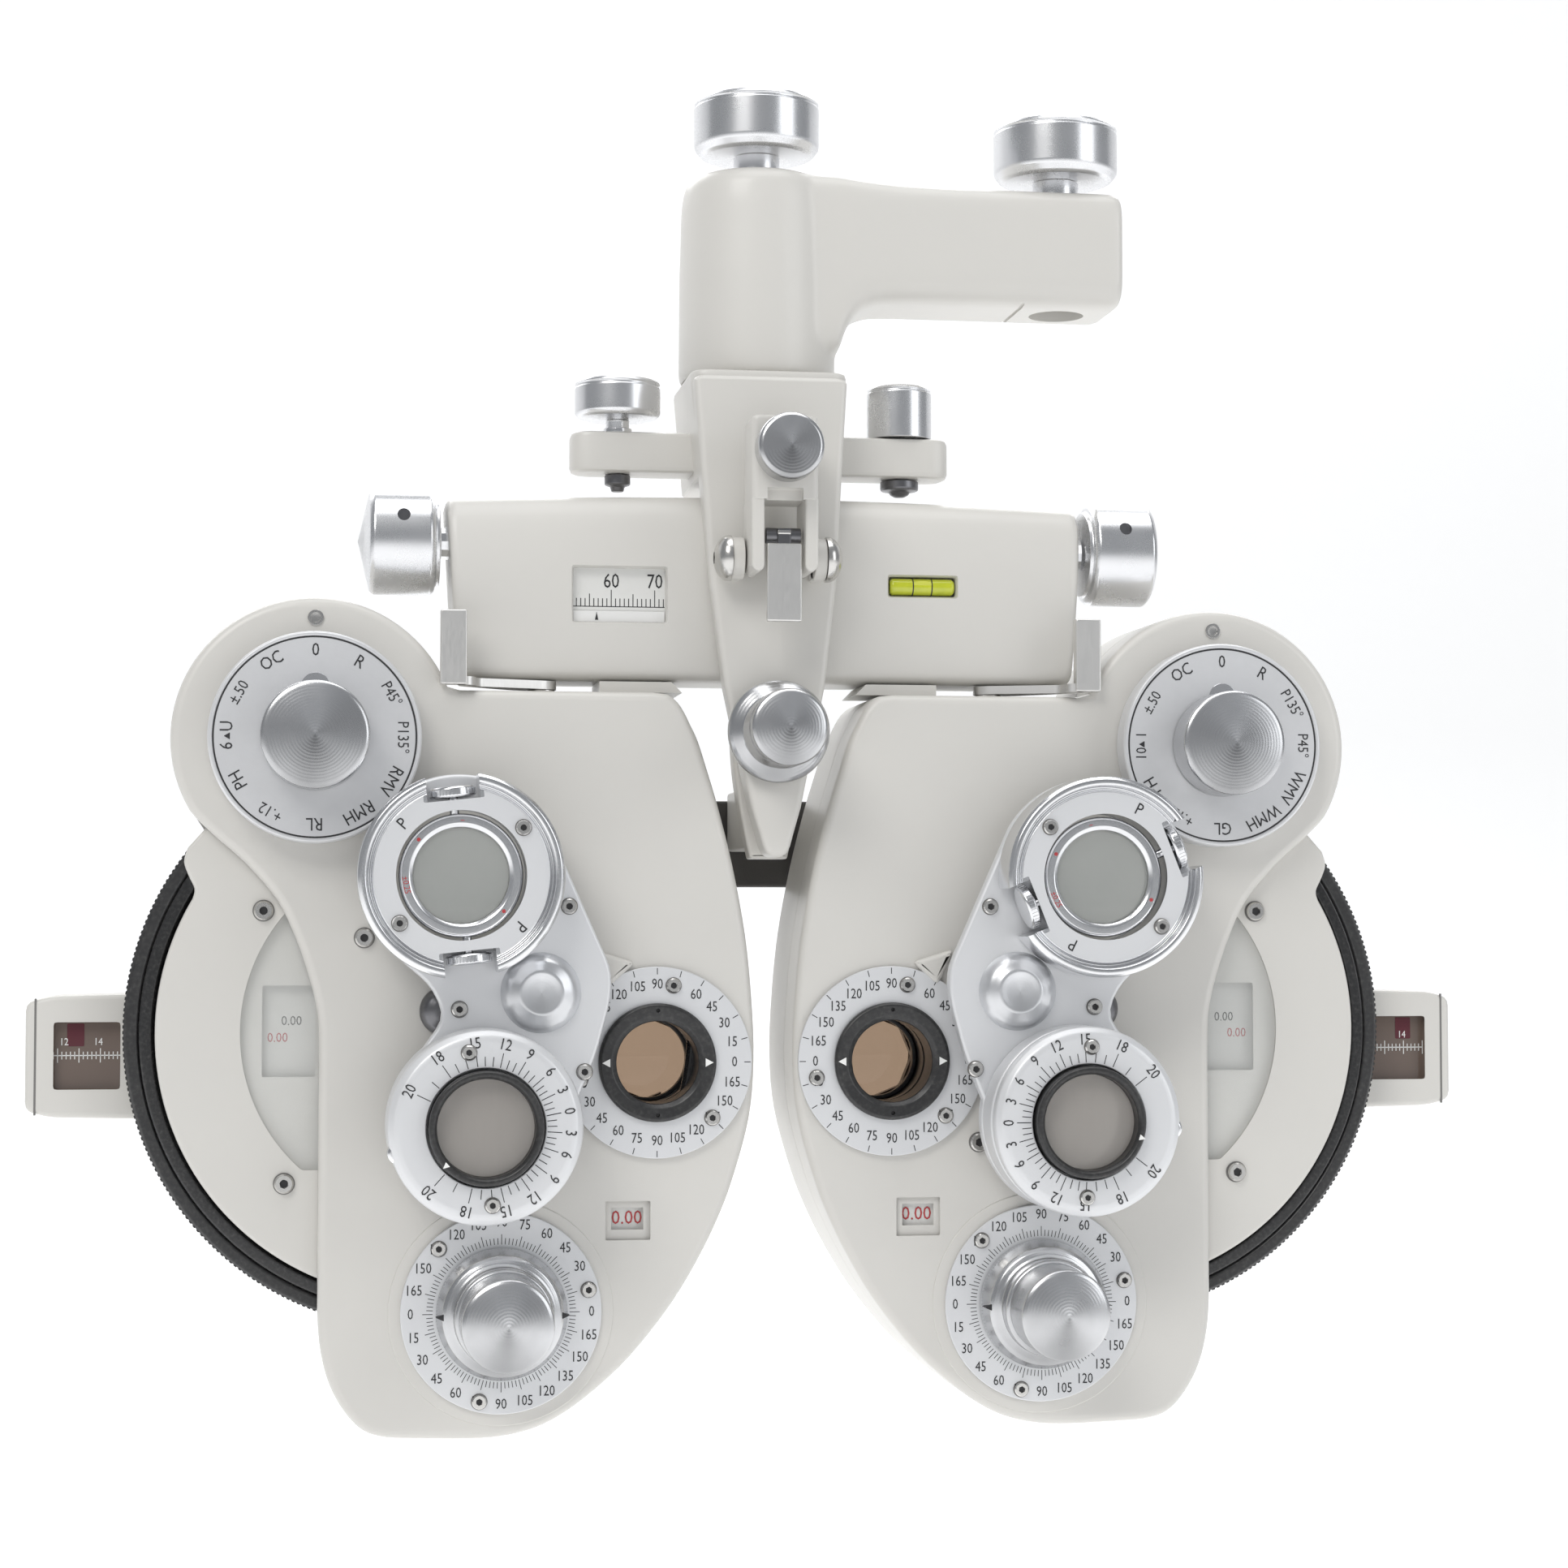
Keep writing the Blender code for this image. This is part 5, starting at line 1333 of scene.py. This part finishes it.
def bridgeCase():
    half, top = 78.5, 92.0
    profile = [
        (30.0, 47.5), (13.0, 47.5), (9.6, 48.3), (8.0, 51.0), (6.9, 60.0), (6.5, 70.0), (7.0, 79.0),
        (8.8, 86.5),
        (12.6, 90.9), (18.5, 92.0), (30.0, 92.0)]
    bowed = smoothPath(profile[1:10], 5)
    front = [profile[0], *bowed, profile[-1]]
    rings = []
    stations = [-half, -half + 0.25, -half + 0.8, -half + 1.8] + [-76 + 4 * i for i in range(39)] + [
        half - 1.8, half - 0.8, half - 0.25, half]
    for x in stations:
        bow = 1.8 * (1 - (x / half) ** 2)
        gap = half - abs(x)
        shrink = 0.0 if gap > 1.8 else 1.8 - math.sqrt(max(0.0, 1.8 ** 2 - (1.8 - gap) ** 2))
        ring = []
        for y, z in front:
            zz = z + bow * max(0.0, (z - 70) / (top - 70)) ** 2 if z > 70 else z
            yy = y + shrink if y < 20 else y
            zz = zz - shrink if zz > 88 else zz + shrink if zz < 50 else zz
            fade = min(1.0, max(0.0, (abs(x) - 40) / 38))
            lean = math.copysign(2.5 * (top - zz) / (top - 47.5), x) * fade
            ring.append((x - lean, yy, zz))
        rings.append(ring)
    case = loft("bridge_case", rings, ivory, sharp=40)
    cutters = []
    for x0, x1, z0, z1, depth in ((-48.0, -25.5, 61.6, 74.8, 3.3), (29.6, 46.3, 69.0, 73.8, 4.4)):
        mouth, well = [], []
        for x, z in box2(x0, z0, x1, z1, 0.7):
            cx, cz = (x0 + x1) / 2, (z0 + z1) / 2
            grow = 0.9
            mouth.append((x + math.copysign(grow, x - cx), 5.4, z + math.copysign(grow, z - cz)))
            well.append((x, 7.7, z))
        floor = [(x, bridgeFront + depth, z) for x, y, z in well]
        cutters.append(loft("window", [mouth, well, floor], ivory))
    bore(case, *cutters)
    settle(case, "bridge", "ivory_paint", "pd_housing")


def distanceScale():
    # the interpupillary scale behind its window
    sheet = block("pd_sheet", (-48.2, 9.3, 61.4), (-25.3, 9.6, 75.0), cream, 0.1)
    settle(sheet, "carriage_left", "satin_silver", "pd_scale_plate")
    marks = []
    zeroX = -38.6    # the place of 60
    perMm = 1.06
    for value in range(50, 75):
        x = zeroX + (value - 60) * perMm
        if not -48.0 < x < -25.6:
            continue
        tall = 4.0 if value % 10 == 0 else 3.0 if value % 5 == 0 else 1.9
        marks.append(bars(1, 90, 0, 0, tall, (x, 9.3, 65.6), 0.22))
    marks.append(bars(1, 0, 0, 0, 22.4, (-48.0, 9.3, 65.5), 0.22))
    for value in (60, 70):
        marks.append(word(str(value), zeroX + (value - 60) * perMm, 9.3, 71.6, 0, 3.6, narrow=0.8))
    settle(merge("pd_numbers", marks), "carriage_left", "black_dial")
    strip = block("pd_index_strip", (-47.9, 8.8, 61.7), (-25.6, 9.05, 64.4), paperWhite, 0.1)
    arrow = plate("arrow", [(-42.6, 62.2), (-42.2, 64.2), (-41.8, 62.2)], edge(8.72, 8.8, 0), blackInk)
    settle(strip, "bridge", "satin_silver")
    arrow.name = "pd_index"
    settle(arrow, "bridge", "black_dial")


def levelVial():
    low, high, centre, radius = roundNode("level_vial", "X")
    vial = lathe("vial_glass", [(0, low.x), (radius - 0.5, low.x), (radius, low.x + 0.6),
                                (radius, high.x - 0.6),
                 (radius - 0.5, high.x), (0, high.x)], centre, vialFluid, along="X", segments=64)
    settle(vial, "bridge", "vial_fluid", "level_vial")
    middleX = (low.x + high.x) / 2
    lines = [lathe("line", drum(radius + 0.06, middleX + x, middleX + x + 0.28, radius + 0.02), centre,
                   blackInk, along="X", segments=48, closed=True,
                   rounding=0) for x in (-2.5, 2.2)]
    settle(merge("vial_lines", lines), "bridge", "black_dial")
    rings = []
    for depth in (low.y + 0.025, low.y + 0.25):
        turns = [math.tau * i / 32 for i in range(32)]
        rings.append([(middleX + 2.3 * math.sin(t), depth, centre.z + 0.5 + 0.9 * math.cos(t))
                      for t in turns])
    settle(loft("vial_bubble", rings, bubbleGlass), "bridge", "vial_fluid")


def driveKnob(tag, side):
    low, high, axis, radius = roundNode(f"pd_knob_{tag}", "X")
    near, far = (low.x, high.x) if side > 0 else (high.x, low.x)
    metal = brushedKnob(f"pdMetal_{tag}")
    knob = [
        (0, near), (radius - 2.2, near), (radius - 2.2, near + side * 1.0),
        (radius - 0.9, near + side * 1.2),
        (radius, near + side * 2.2), (radius, far - side * 3.8), (radius - 0.9, far - side * 2.8), (0, far)]
    knob = lathe("knob", knob, axis, metal, along="X", segments=144, rounding=0.4)
    hole = lathe("hole", [(0, -30), (1.55, -30), (1.55, axis[1] - radius + 3.2),
                          (0, axis[1] - radius + 3.2)],
                 (near + side * 8.8, 0, axis[2] + 5.4), metal, segments=32, rounding=0)
    bore(knob, hole)
    pin = lathe(f"pd_set_screw_{tag}", [(0, axis[1] - radius + 2.6), (1.5, axis[1] - radius + 2.6),
                (1.5, axis[1] - radius + 3.1), (0, axis[1] - radius + 3.1)],
                (near + side * 8.8, 0, axis[2] + 5.4), darkSteel, segments=24, rounding=0)
    knob.name = f"pd_knob_{tag}_metal"
    settle(knob, "pd_drive", "turned_aluminium", f"pd_knob_{tag}")
    settle(pin, "pd_drive", "dark_steel")


def convergenceLever(tag, side):
    low, high = span(f"convergence_lever_{tag}")
    tip = high.x if side > 0 else -low.x
    bottom = low.z
    body = f"convergence_lever_{tag}"
    arm = [(51.7, 10.5), (54.2, 8.3), (tip - 9.0, 2.4), (tip - 8.0, -2.2), (tip - 6.0, -3.0),
           (tip - 4.0, -2.8), (tip - 4.6, 2.9),
           (62, 14.4), (57.3, 15.6), (53.8, 15.4), (51.7, 13.5)]
    arm = soften(arm, 1.4, closed=True)
    rings = [[(side * x, y, bottom + lift) for x, y in arm] for lift in (0, 0.3, 1.7, 2.0)]
    arm = loft("arm", rings, leverSteel)
    tab = block("tab", (min(side * (tip - 6.3), side * tip), -3.4, bottom),
                (max(side * (tip - 6.3), side * tip), -0.4, high.z),
                leverSteel, 0.5)
    settle(merge(f"lever_{tag}", [arm, tab]), body, "satin_silver", f"convergence_lever_{tag}")
    head = lathe(f"lever_screw_{tag}", [(0, bottom - 0.8), (2.9, bottom - 0.8), (3.3, bottom - 0.5),
                                        (3.3, bottom - 0.05),
                 (0, bottom - 0.05)], (side * 55.3, 12.0, 0), screwSteel, along="Z", segments=40,
                 rounding=0.2)
    settle(head, body, "dark_steel")


# ---- yoke, rod holder and forehead rest ----

def rectangle(half, front, back, level, radius, steps=4):
    outline = soften(box2(-half, front, half, back), radius, closed=True, steps=steps)
    return [(x, y, level) for x, y in outline]


def yoke():
    low, high = span("yoke")
    top = high.z
    stations = [(low.z, 0.9, -3.4), (low.z + 0.3, 1.7, -4.2), (low.z + 1.0, 2.6, -4.8),
                (low.z + 2.5, 3.3, -5.0),
                (low.z + 5.5, 4.1, -4.9), (16.5, 6.0, -4.5), (24.0, 7.6, -4.0), (46.0, 12.3, -1.8),
                (72.0, 15.6, 0.4),
                (98.5, 17.3, 2.7), (top - 3.0, 18.9, 4.4), (top - 2.2, 18.6, 4.9), (top - 1.6, 17.8, 5.6)]
    rings = [rectangle(half, front, 5.9 if z < 96 else 12.0, z, min(1.7, half * 0.8))
             for z, half, front in stations]
    blade = loft("blade", rings, ivory)
    crown = loft("crown", [rectangle(half, front, high.y, z, 5.0, 6) for z, half, front in (
        (97.5, 16.6, 4.6), (97.9, 17.1, 4.2), (top - 1.2, 19.3, 5.6), (top - 0.3, 19.1, 5.9),
        (top, 18.6, 6.4))], ivory)
    half = (high.x - low.x) / 2
    rings = [rectangle(half - s, 18.5 + s, 31.5 - s, z, 6.4, 10) for z, s in (
        (100.0, 1.4), (100.4, 0.4), (101.4, 0.0), (108.6, 0.0), (109.6, 0.4), (110.0, 1.4))]
    bar = loft("bar", rings, ivory)
    parts = [blade, crown, bar]
    hinge = (0, -6.0, 76.0)
    for side in (-1, 1):
        ends = sorted((side * 8.5, side * 11.4))
        ear = lathe("ear", drum(5.0, *ends), hinge, ivory, along="X", segments=48)
        root = block("root", (ends[0], -6.0, 71.2), (ends[1], 3.0, 80.8), ivory)
        parts += [ear, root]
    settle(merge("yoke_casting", parts), "yoke", "ivory_paint", "yoke")
    for side in (-1, 1):
        ball = []
        for i in range(13):
            across, rise = polar(1.0, 90 - 90 * i / 12)
            ball.append((5.5 * across, side * (12.0 + 3.6 * rise)))
        ball = lathe("hinge_ball", [(0, side * 15.6)] + ball[1:] + [(5.5, side * 11.5), (0, side * 11.5)],
                     hinge,
                     screwSteel, along="X", segments=64, rounding=0)
        slotCut = lathe("key", drum(1.6, side * 13.6, side * 17), hinge,
                        screwSteel, along="X", segments=6, rounding=0)
        bore(ball, slotCut)
        ball.name = f"hinge_ball_{'left' if side < 0 else 'right'}"
        settle(ball, "yoke", "dark_steel")


def levelling():
    low, high, axis, radius = roundNode("leveling_screw", "Z")
    metal = brushedKnob("levelMetal")
    head = high.z
    profile = [
        (0, 110.6), (2.9, 110.6), (2.9, head - 10.2), (radius - 1.4, head - 9.6),
        (radius - 0.5, head - 9.2), (radius, head - 8.4),
        (radius, head - 2.2), (radius - 0.3, head - 1.9), (radius - 0.3, head - 1.4), (radius, head - 1.1),
        (radius - 0.6, head - 0.3),
        (radius - 1.6, head), (0, head)]
    knob = lathe("level_knob", profile, axis, metal, along="Z", segments=128)
    settle(knob, "leveling_screw", "turned_aluminium", "leveling_screw")
    collar = lathe("level_collar", drum(3.6, 110.1, 111.4), axis, chrome, along="Z", segments=48)
    settle(collar, "leveling_screw", "turned_aluminium")
    tip = [(0, low.z), (1.5, low.z), (1.8, low.z + 1.2), (3.2, low.z + 1.7), (3.2, low.z + 4.1),
           (0, low.z + 4.1)]
    tip = lathe("level_tip", tip, axis, darkSteel, along="Z", segments=48)
    settle(tip, "leveling_screw", "dark_steel")

    low, high, axis, radius = roundNode("spring_plunger", "Z")
    metal = brushedKnob("plungerMetal")
    profile = [(0, 110.2), (radius, 110.2), (radius, high.z - 1.6), (radius - 0.35, high.z - 1.3),
               (radius - 0.35, high.z - 1.0),
               (radius, high.z - 0.8), (radius - 0.8, high.z), (0, high.z)]
    body = lathe("plunger_body", profile, axis, metal, along="Z", segments=112)
    settle(body, "yoke", "turned_aluminium", "spring_plunger")
    dome = [(0, low.z), (1.2, low.z + 0.1), (2.2, low.z + 0.6), (2.8, low.z + 1.4), (4.6, low.z + 1.7),
            (4.8, low.z + 2.2), (4.8, 99.7),
            (0, 99.7)]
    dome = lathe("plunger_tip", dome, axis, darkSteel, along="Z", segments=64)
    settle(dome, "yoke", "dark_steel")


def rodHolder():
    low, high = span("rod_bracket")
    front, top = low.y, high.z
    shell = loft("shell", [rectangle(half, front + s, back - s, z, 1.6) for z, half, s, back in (
        (88.9, 7.8, 0.1, -4.0), (89.3, 8.0, 0.0, -4.0), (top - 1.4, 8.0, 0.0, -4.0),
        (top - 0.5, 7.7, 0.3, -4.0),
        (top, 6.9, 1.0, -4.2))], ivory)
    socket = block("socket", (-3.6, -14.4, 91.5), (3.6, -7.2, top + 4), ivory)
    groove = block("groove", (-4.3, front - 1.0, 80.0), (4.3, front + 2.6, 91.6), ivory, 0.3)
    bore(shell, socket, groove)
    parts = [shell]
    for side in (-1, 1):
        outline = soften([(4.9, 90.0), (4.9, 72.6), (6.3, 71.5), (8.0, 72.8), (8.0, 90.0)], 1.2,
                         closed=True)
        parts.append(plate("finger", flip(outline, side), edge(front + 0.4, -3.4, 0.6, 0.3), ivory))
    settle(merge("rod_bracket_casting", parts), "rod_bracket", "ivory_paint", "rod_bracket")
    tongueFront = span("rod_release_lever")[0].y
    tongue = block("tongue", (-4.2, tongueFront, 60.0), (4.2, tongueFront + 1.6, 78.6), leverSteel, 0.5)
    hinge = lathe("hinge", drum(1.9, -4.2, 4.2), (0, -13.6, 80.6), darkSteel, along="X", segments=40)
    stem = block("stem", (-1.6, tongueFront + 0.2, 77.5), (1.6, tongueFront + 1.5, 82.2), darkSteel, 0.3)
    slotPin = lathe("pin", drum(1.1, -1.6, 1.6), (0, -15.2, 81.2), screwSteel, along="X", segments=24)
    settle(merge("rod_lever_tongue", [tongue, hinge, stem, slotPin]), "rod_lever", "dark_steel",
           "rod_release_lever")

    low, high, axis, radius = roundNode("rod_clamp_knob")
    metal = turnedMetal("rodKnobMetal", axis)
    profile = [(0, low.y), (radius - 0.9, low.y + 0.8), (radius - 0.2, low.y + 1.3), (radius, low.y + 1.9),
               (radius, low.y + 7.6),
               (radius - 0.7, low.y + 8.2), (3.2, low.y + 8.4), (3.2, high.y), (0, high.y)]
    knob = lathe("rod_knob", profile, axis, metal, segments=112)
    settle(knob, "rod_clamp", "turned_aluminium", "rod_clamp_knob")


def foreheadRest():
    low, high = span("forehead_slide")
    front = low.y
    face = smoothPath([(-4.6, 4.4), (-6.2, 12.0), (-8.2, 24.0), (-8.9, 34.0), (-8.6, 41.0)], 5)
    outline = soften(face + [(-x, z) for x, z in reversed(face)], 0.8, closed=True)
    slide = plate("slide", outline, edge(front, front + 6, 0.9), ivory)
    bar = block("bar", (-5, front + 3, 7), (5, high.y, 22), ivory, 1.0)
    settle(merge("rest_slide", [slide, bar]), "forehead_rest", "ivory_paint", "forehead_slide")
    low, high = span("forehead_pad")
    inset = 6.0
    right = [(high.x - inset, low.z), (high.x, low.z + inset), (high.x, high.z - inset),
             (high.x - inset, high.z)]
    outline = soften(right + [(-x, z) for x, z in reversed(right)], 4.5, closed=True)
    pad = plate("rest_pad", outline, edge(high.y, low.y, 2.6, 0.8), padVinyl)
    settle(pad, "forehead_rest", "rest_pad", "forehead_pad")
    low, _, axis, _ = roundNode("forehead_knob")
    metal = turnedMetal("restMetal", axis)
    profile = [
        (0, 8.0), (3.2, 8.0), (3.2, -5.7), (11.6, -5.7), (12.3, -6.4), (12.3, -8.0), (11.4, -8.9),
        (9.0, -10.6), (7.8, -13.5),
        (7.6, -18.9), (8.4, -20.0), (9.15, -20.8), (9.15, -24.0), (8.9, -24.8), (8.2, -25.2), (0, low.y)]
    knob = lathe("rest_knob", profile, axis, metal, segments=128, rounding=0.35)
    settle(knob, "forehead_knob", "turned_aluminium", "forehead_knob")


# ---- hanger arm ----

hanger = {"grain": 0.9, "melt": 14}    # voxel in mm, smoothing passes


def hangerArm():
    low, high = span("hanger_arm")
    depth = (low.y + high.y) / 2
    bossR = (high.y - low.y) / 2
    bottom = low.z
    profile = [(0, bottom), (bossR - 0.4, bottom), (bossR, bottom + 0.6), (bossR - 0.2, 150),
               (bossR - 0.7, 168), (bossR - 1.4, 173.2),
               (bossR - 3.0, 175.4), (bossR - 5.0, 176.4), (0, 176.6)]
    boss = lathe("boss", profile, (0, depth, 0), ivory, along="Z", segments=96, rounding=1.0)
    stations = ((3.0, 130.6, 176.0, 14.2), (14.0, 130.8, 176.0, 14.8), (19.3, 131.2, 175.9, 15.0),
                (20.4, 135.4, 175.7, 15.1),
                (22.4, 139.4, 175.3, 15.2), (25.6, 142.4, 174.9, 15.3), (30.0, 143.8, 174.4, 15.4),
                (36.0, 144.0, 174.0, 15.5),
                (48.0, 144.0, 173.7, 15.5), (high.x - 2.0, 144.0, 173.7, 15.5),
                (high.x - 0.6, 144.5, 173.2, 15.0),
                (high.x, 145.6, 172.2, 14.0))
    rings = []
    for x, bottomZ, topZ, half in stations:
        ring = soften(box2(-half, bottomZ, half, topZ), 6.5, closed=True, steps=8)
        rings.append([(x, depth + y, z) for y, z in ring])
    arm = loft("arm", rings, ivory)
    whole = merge("hanger_casting", [boss, arm])
    remesh = whole.modifiers.new("remesh", "REMESH")
    remesh.mode = "VOXEL"
    remesh.voxel_size = hanger["grain"] * mm
    melt = whole.modifiers.new("melt", "SMOOTH")
    melt.factor = 0.5
    melt.iterations = hanger["melt"]
    flatten(whole, weighted=False)
    whole.data.materials.clear()
    whole.data.materials.append(ivory)
    flat = lathe("flat", drum(60, bottom - 4, bottom + 0.4), (0, depth, 0), ivory, along="Z",
                 segments=64, rounding=0)
    socket = lathe("socket", drum(7.0, 140, 166), (77.5, depth, 0), ivory, along="Z", segments=64,
                   rounding=0)
    notch = block("notch", (65.5, depth - 20, 143.0), (66.5, depth + 20, 144.7), ivory, 0.2)
    bore(whole, flat, socket, notch)
    whole.data.shade_smooth()
    settle(whole, "hanger", "ivory_paint", "hanger_arm")

    for node, body in (("swivel_clamp_knob", "swivel_clamp"), ("arm_clamp_knob", "arm_clamp")):
        low, high, axis, radius = roundNode(node, "Z")
        base = high.z - 14.5
        metal = brushedKnob(f"{body}Metal")
        profile = [
            (0, low.z), (5.8, low.z), (5.8, base - 0.1), (radius - 2.6, base), (radius - 1.4, base + 0.5),
            (radius - 0.2, base + 2.0),
            (radius, base + 2.8), (radius, high.z - 2.4), (radius - 0.4, high.z - 2.1),
            (radius - 0.4, high.z - 1.6),
            (radius, high.z - 1.3), (radius - 0.8, high.z - 0.3), (radius - 1.8, high.z),
            (radius - 5.4, high.z),
            (radius - 5.9, high.z - 0.5), (0, high.z - 0.5)]
        knob = lathe(f"{body}_metal", profile, axis, metal, along="Z", segments=160)
        settle(knob, body, "turned_aluminium", node)


# ---- inner parts that keep their CAD shape ----

def innerParts():
    keep = {"pd_screw": chrome, "carriage_left": ivory, "carriage_right": ivory,
            "strong_lens_disc_left": darkSteel,
            "strong_lens_disc_right": darkSteel}
    for node, material in keep.items():
        for slot in frame["nodes"][node].material_slots:
            slot.material = material


# ---- floor, light, camera ----

studio = {"floor": -270.0, "wall": 900.0, "white": 0.90, "glow": 0.31, "sky": 0.32}


def floor():
    # one sheet that curves up behind the object
    reach, bend = 6500.0, 900.0
    path = [(-reach, studio["floor"])]
    for i in range(17):
        t = math.radians(90 * i / 16)
        path.append((studio["wall"] + bend * math.sin(t), studio["floor"] + bend * (1 - math.cos(t))))
    path.append((studio["wall"] + bend, 3600.0))
    points, faces = [], []
    for y, z in path:
        points += [(-reach, y, z), (reach, y, z)]
    for i in range(len(path) - 1):
        faces.append((2 * i, 2 * i + 1, 2 * i + 3, 2 * i + 2))
    look = Look("studioWhite", (studio["white"],) * 3, 0.85)
    look.shader.inputs["Emission Color"].default_value = (1.0, 1.0, 1.0, 1.0)
    look.shader.inputs["Emission Strength"].default_value = studio["glow"]
    sheet = makePiece("studio_floor", points, faces, look.material, 60)
    if sheet.data.polygons[0].normal.z < 0:
        sheet.data.flip_normals()


lights = (
    # name, place in plan mm, width and height in mm, watts, warmth
    ("key", (-900, -1300, 1300), (900, 900), 15.0, (1.0, 0.985, 0.96)),
    ("fill", (1300, -1100, 500), (800, 1100), 5.0, (0.97, 0.985, 1.0)),
    ("top", (100, -200, 1500), (1300, 900), 9.0, (1.0, 1.0, 1.0)),
    ("rear", (0, 900, 900), (1600, 700), 9.0, (1.0, 1.0, 1.0)),
)


def lighting():
    sky = bpy.data.worlds.new("studio")
    bpy.context.scene.world = sky
    sky.use_nodes = True
    ground = sky.node_tree.nodes["Background"]
    ground.inputs["Color"].default_value = (0.93, 0.96, 1.0, 1.0)
    ground.inputs["Strength"].default_value = studio["sky"]
    aim = world((0, 10, 10))
    for name, place, size, watts, tone in lights:
        data = bpy.data.lights.new(name, "AREA")
        data.shape = "RECTANGLE"
        data.size, data.size_y = size[0] * mm, size[1] * mm
        data.energy = watts
        data.color = tone
        lamp = bpy.data.objects.new(name, data)
        lamp.location = world(place)
        lamp.rotation_euler = (aim - lamp.location).to_track_quat("-Z", "Y").to_euler()
        bpy.context.scene.collection.objects.link(lamp)


viewpoint = {"lens": 71.26, "place": (-112.5, -738.7, -11.8), "tilt": 2.61, "pan": -8.84}


def camera():
    data = bpy.data.cameras.new("view")
    data.sensor_width = 36.0
    data.lens = viewpoint["lens"]
    eyePoint = bpy.data.objects.new("view", data)
    eyePoint.location = world(viewpoint["place"])
    eyePoint.rotation_euler = (math.radians(90 + viewpoint["tilt"]), 0.0, math.radians(viewpoint["pan"]))
    bpy.context.scene.collection.objects.link(eyePoint)
    bpy.context.scene.camera = eyePoint


for tag, side in sides:
    coverPieces(tag, side)
    sphereWheel(tag, side)
    auxiliaryDial(tag)
    aperture(tag)
    axisDial(tag)
    turretPlate(tag, side)
    crossCylinder(tag, side)
    rotaryPrism(tag, side)
    vertexBox(tag, side)
    print("battery built:", tag)
bridgeCase()
distanceScale()
levelVial()
for tag, side in sides:
    driveKnob(tag, side)
    convergenceLever(tag, side)
print("bridge built")
yoke()
levelling()
rodHolder()
foreheadRest()
hangerArm()
innerParts()
print("yoke and arm built")
floor()
lighting()
camera()
bpy.context.scene.view_settings.view_transform = "Standard"
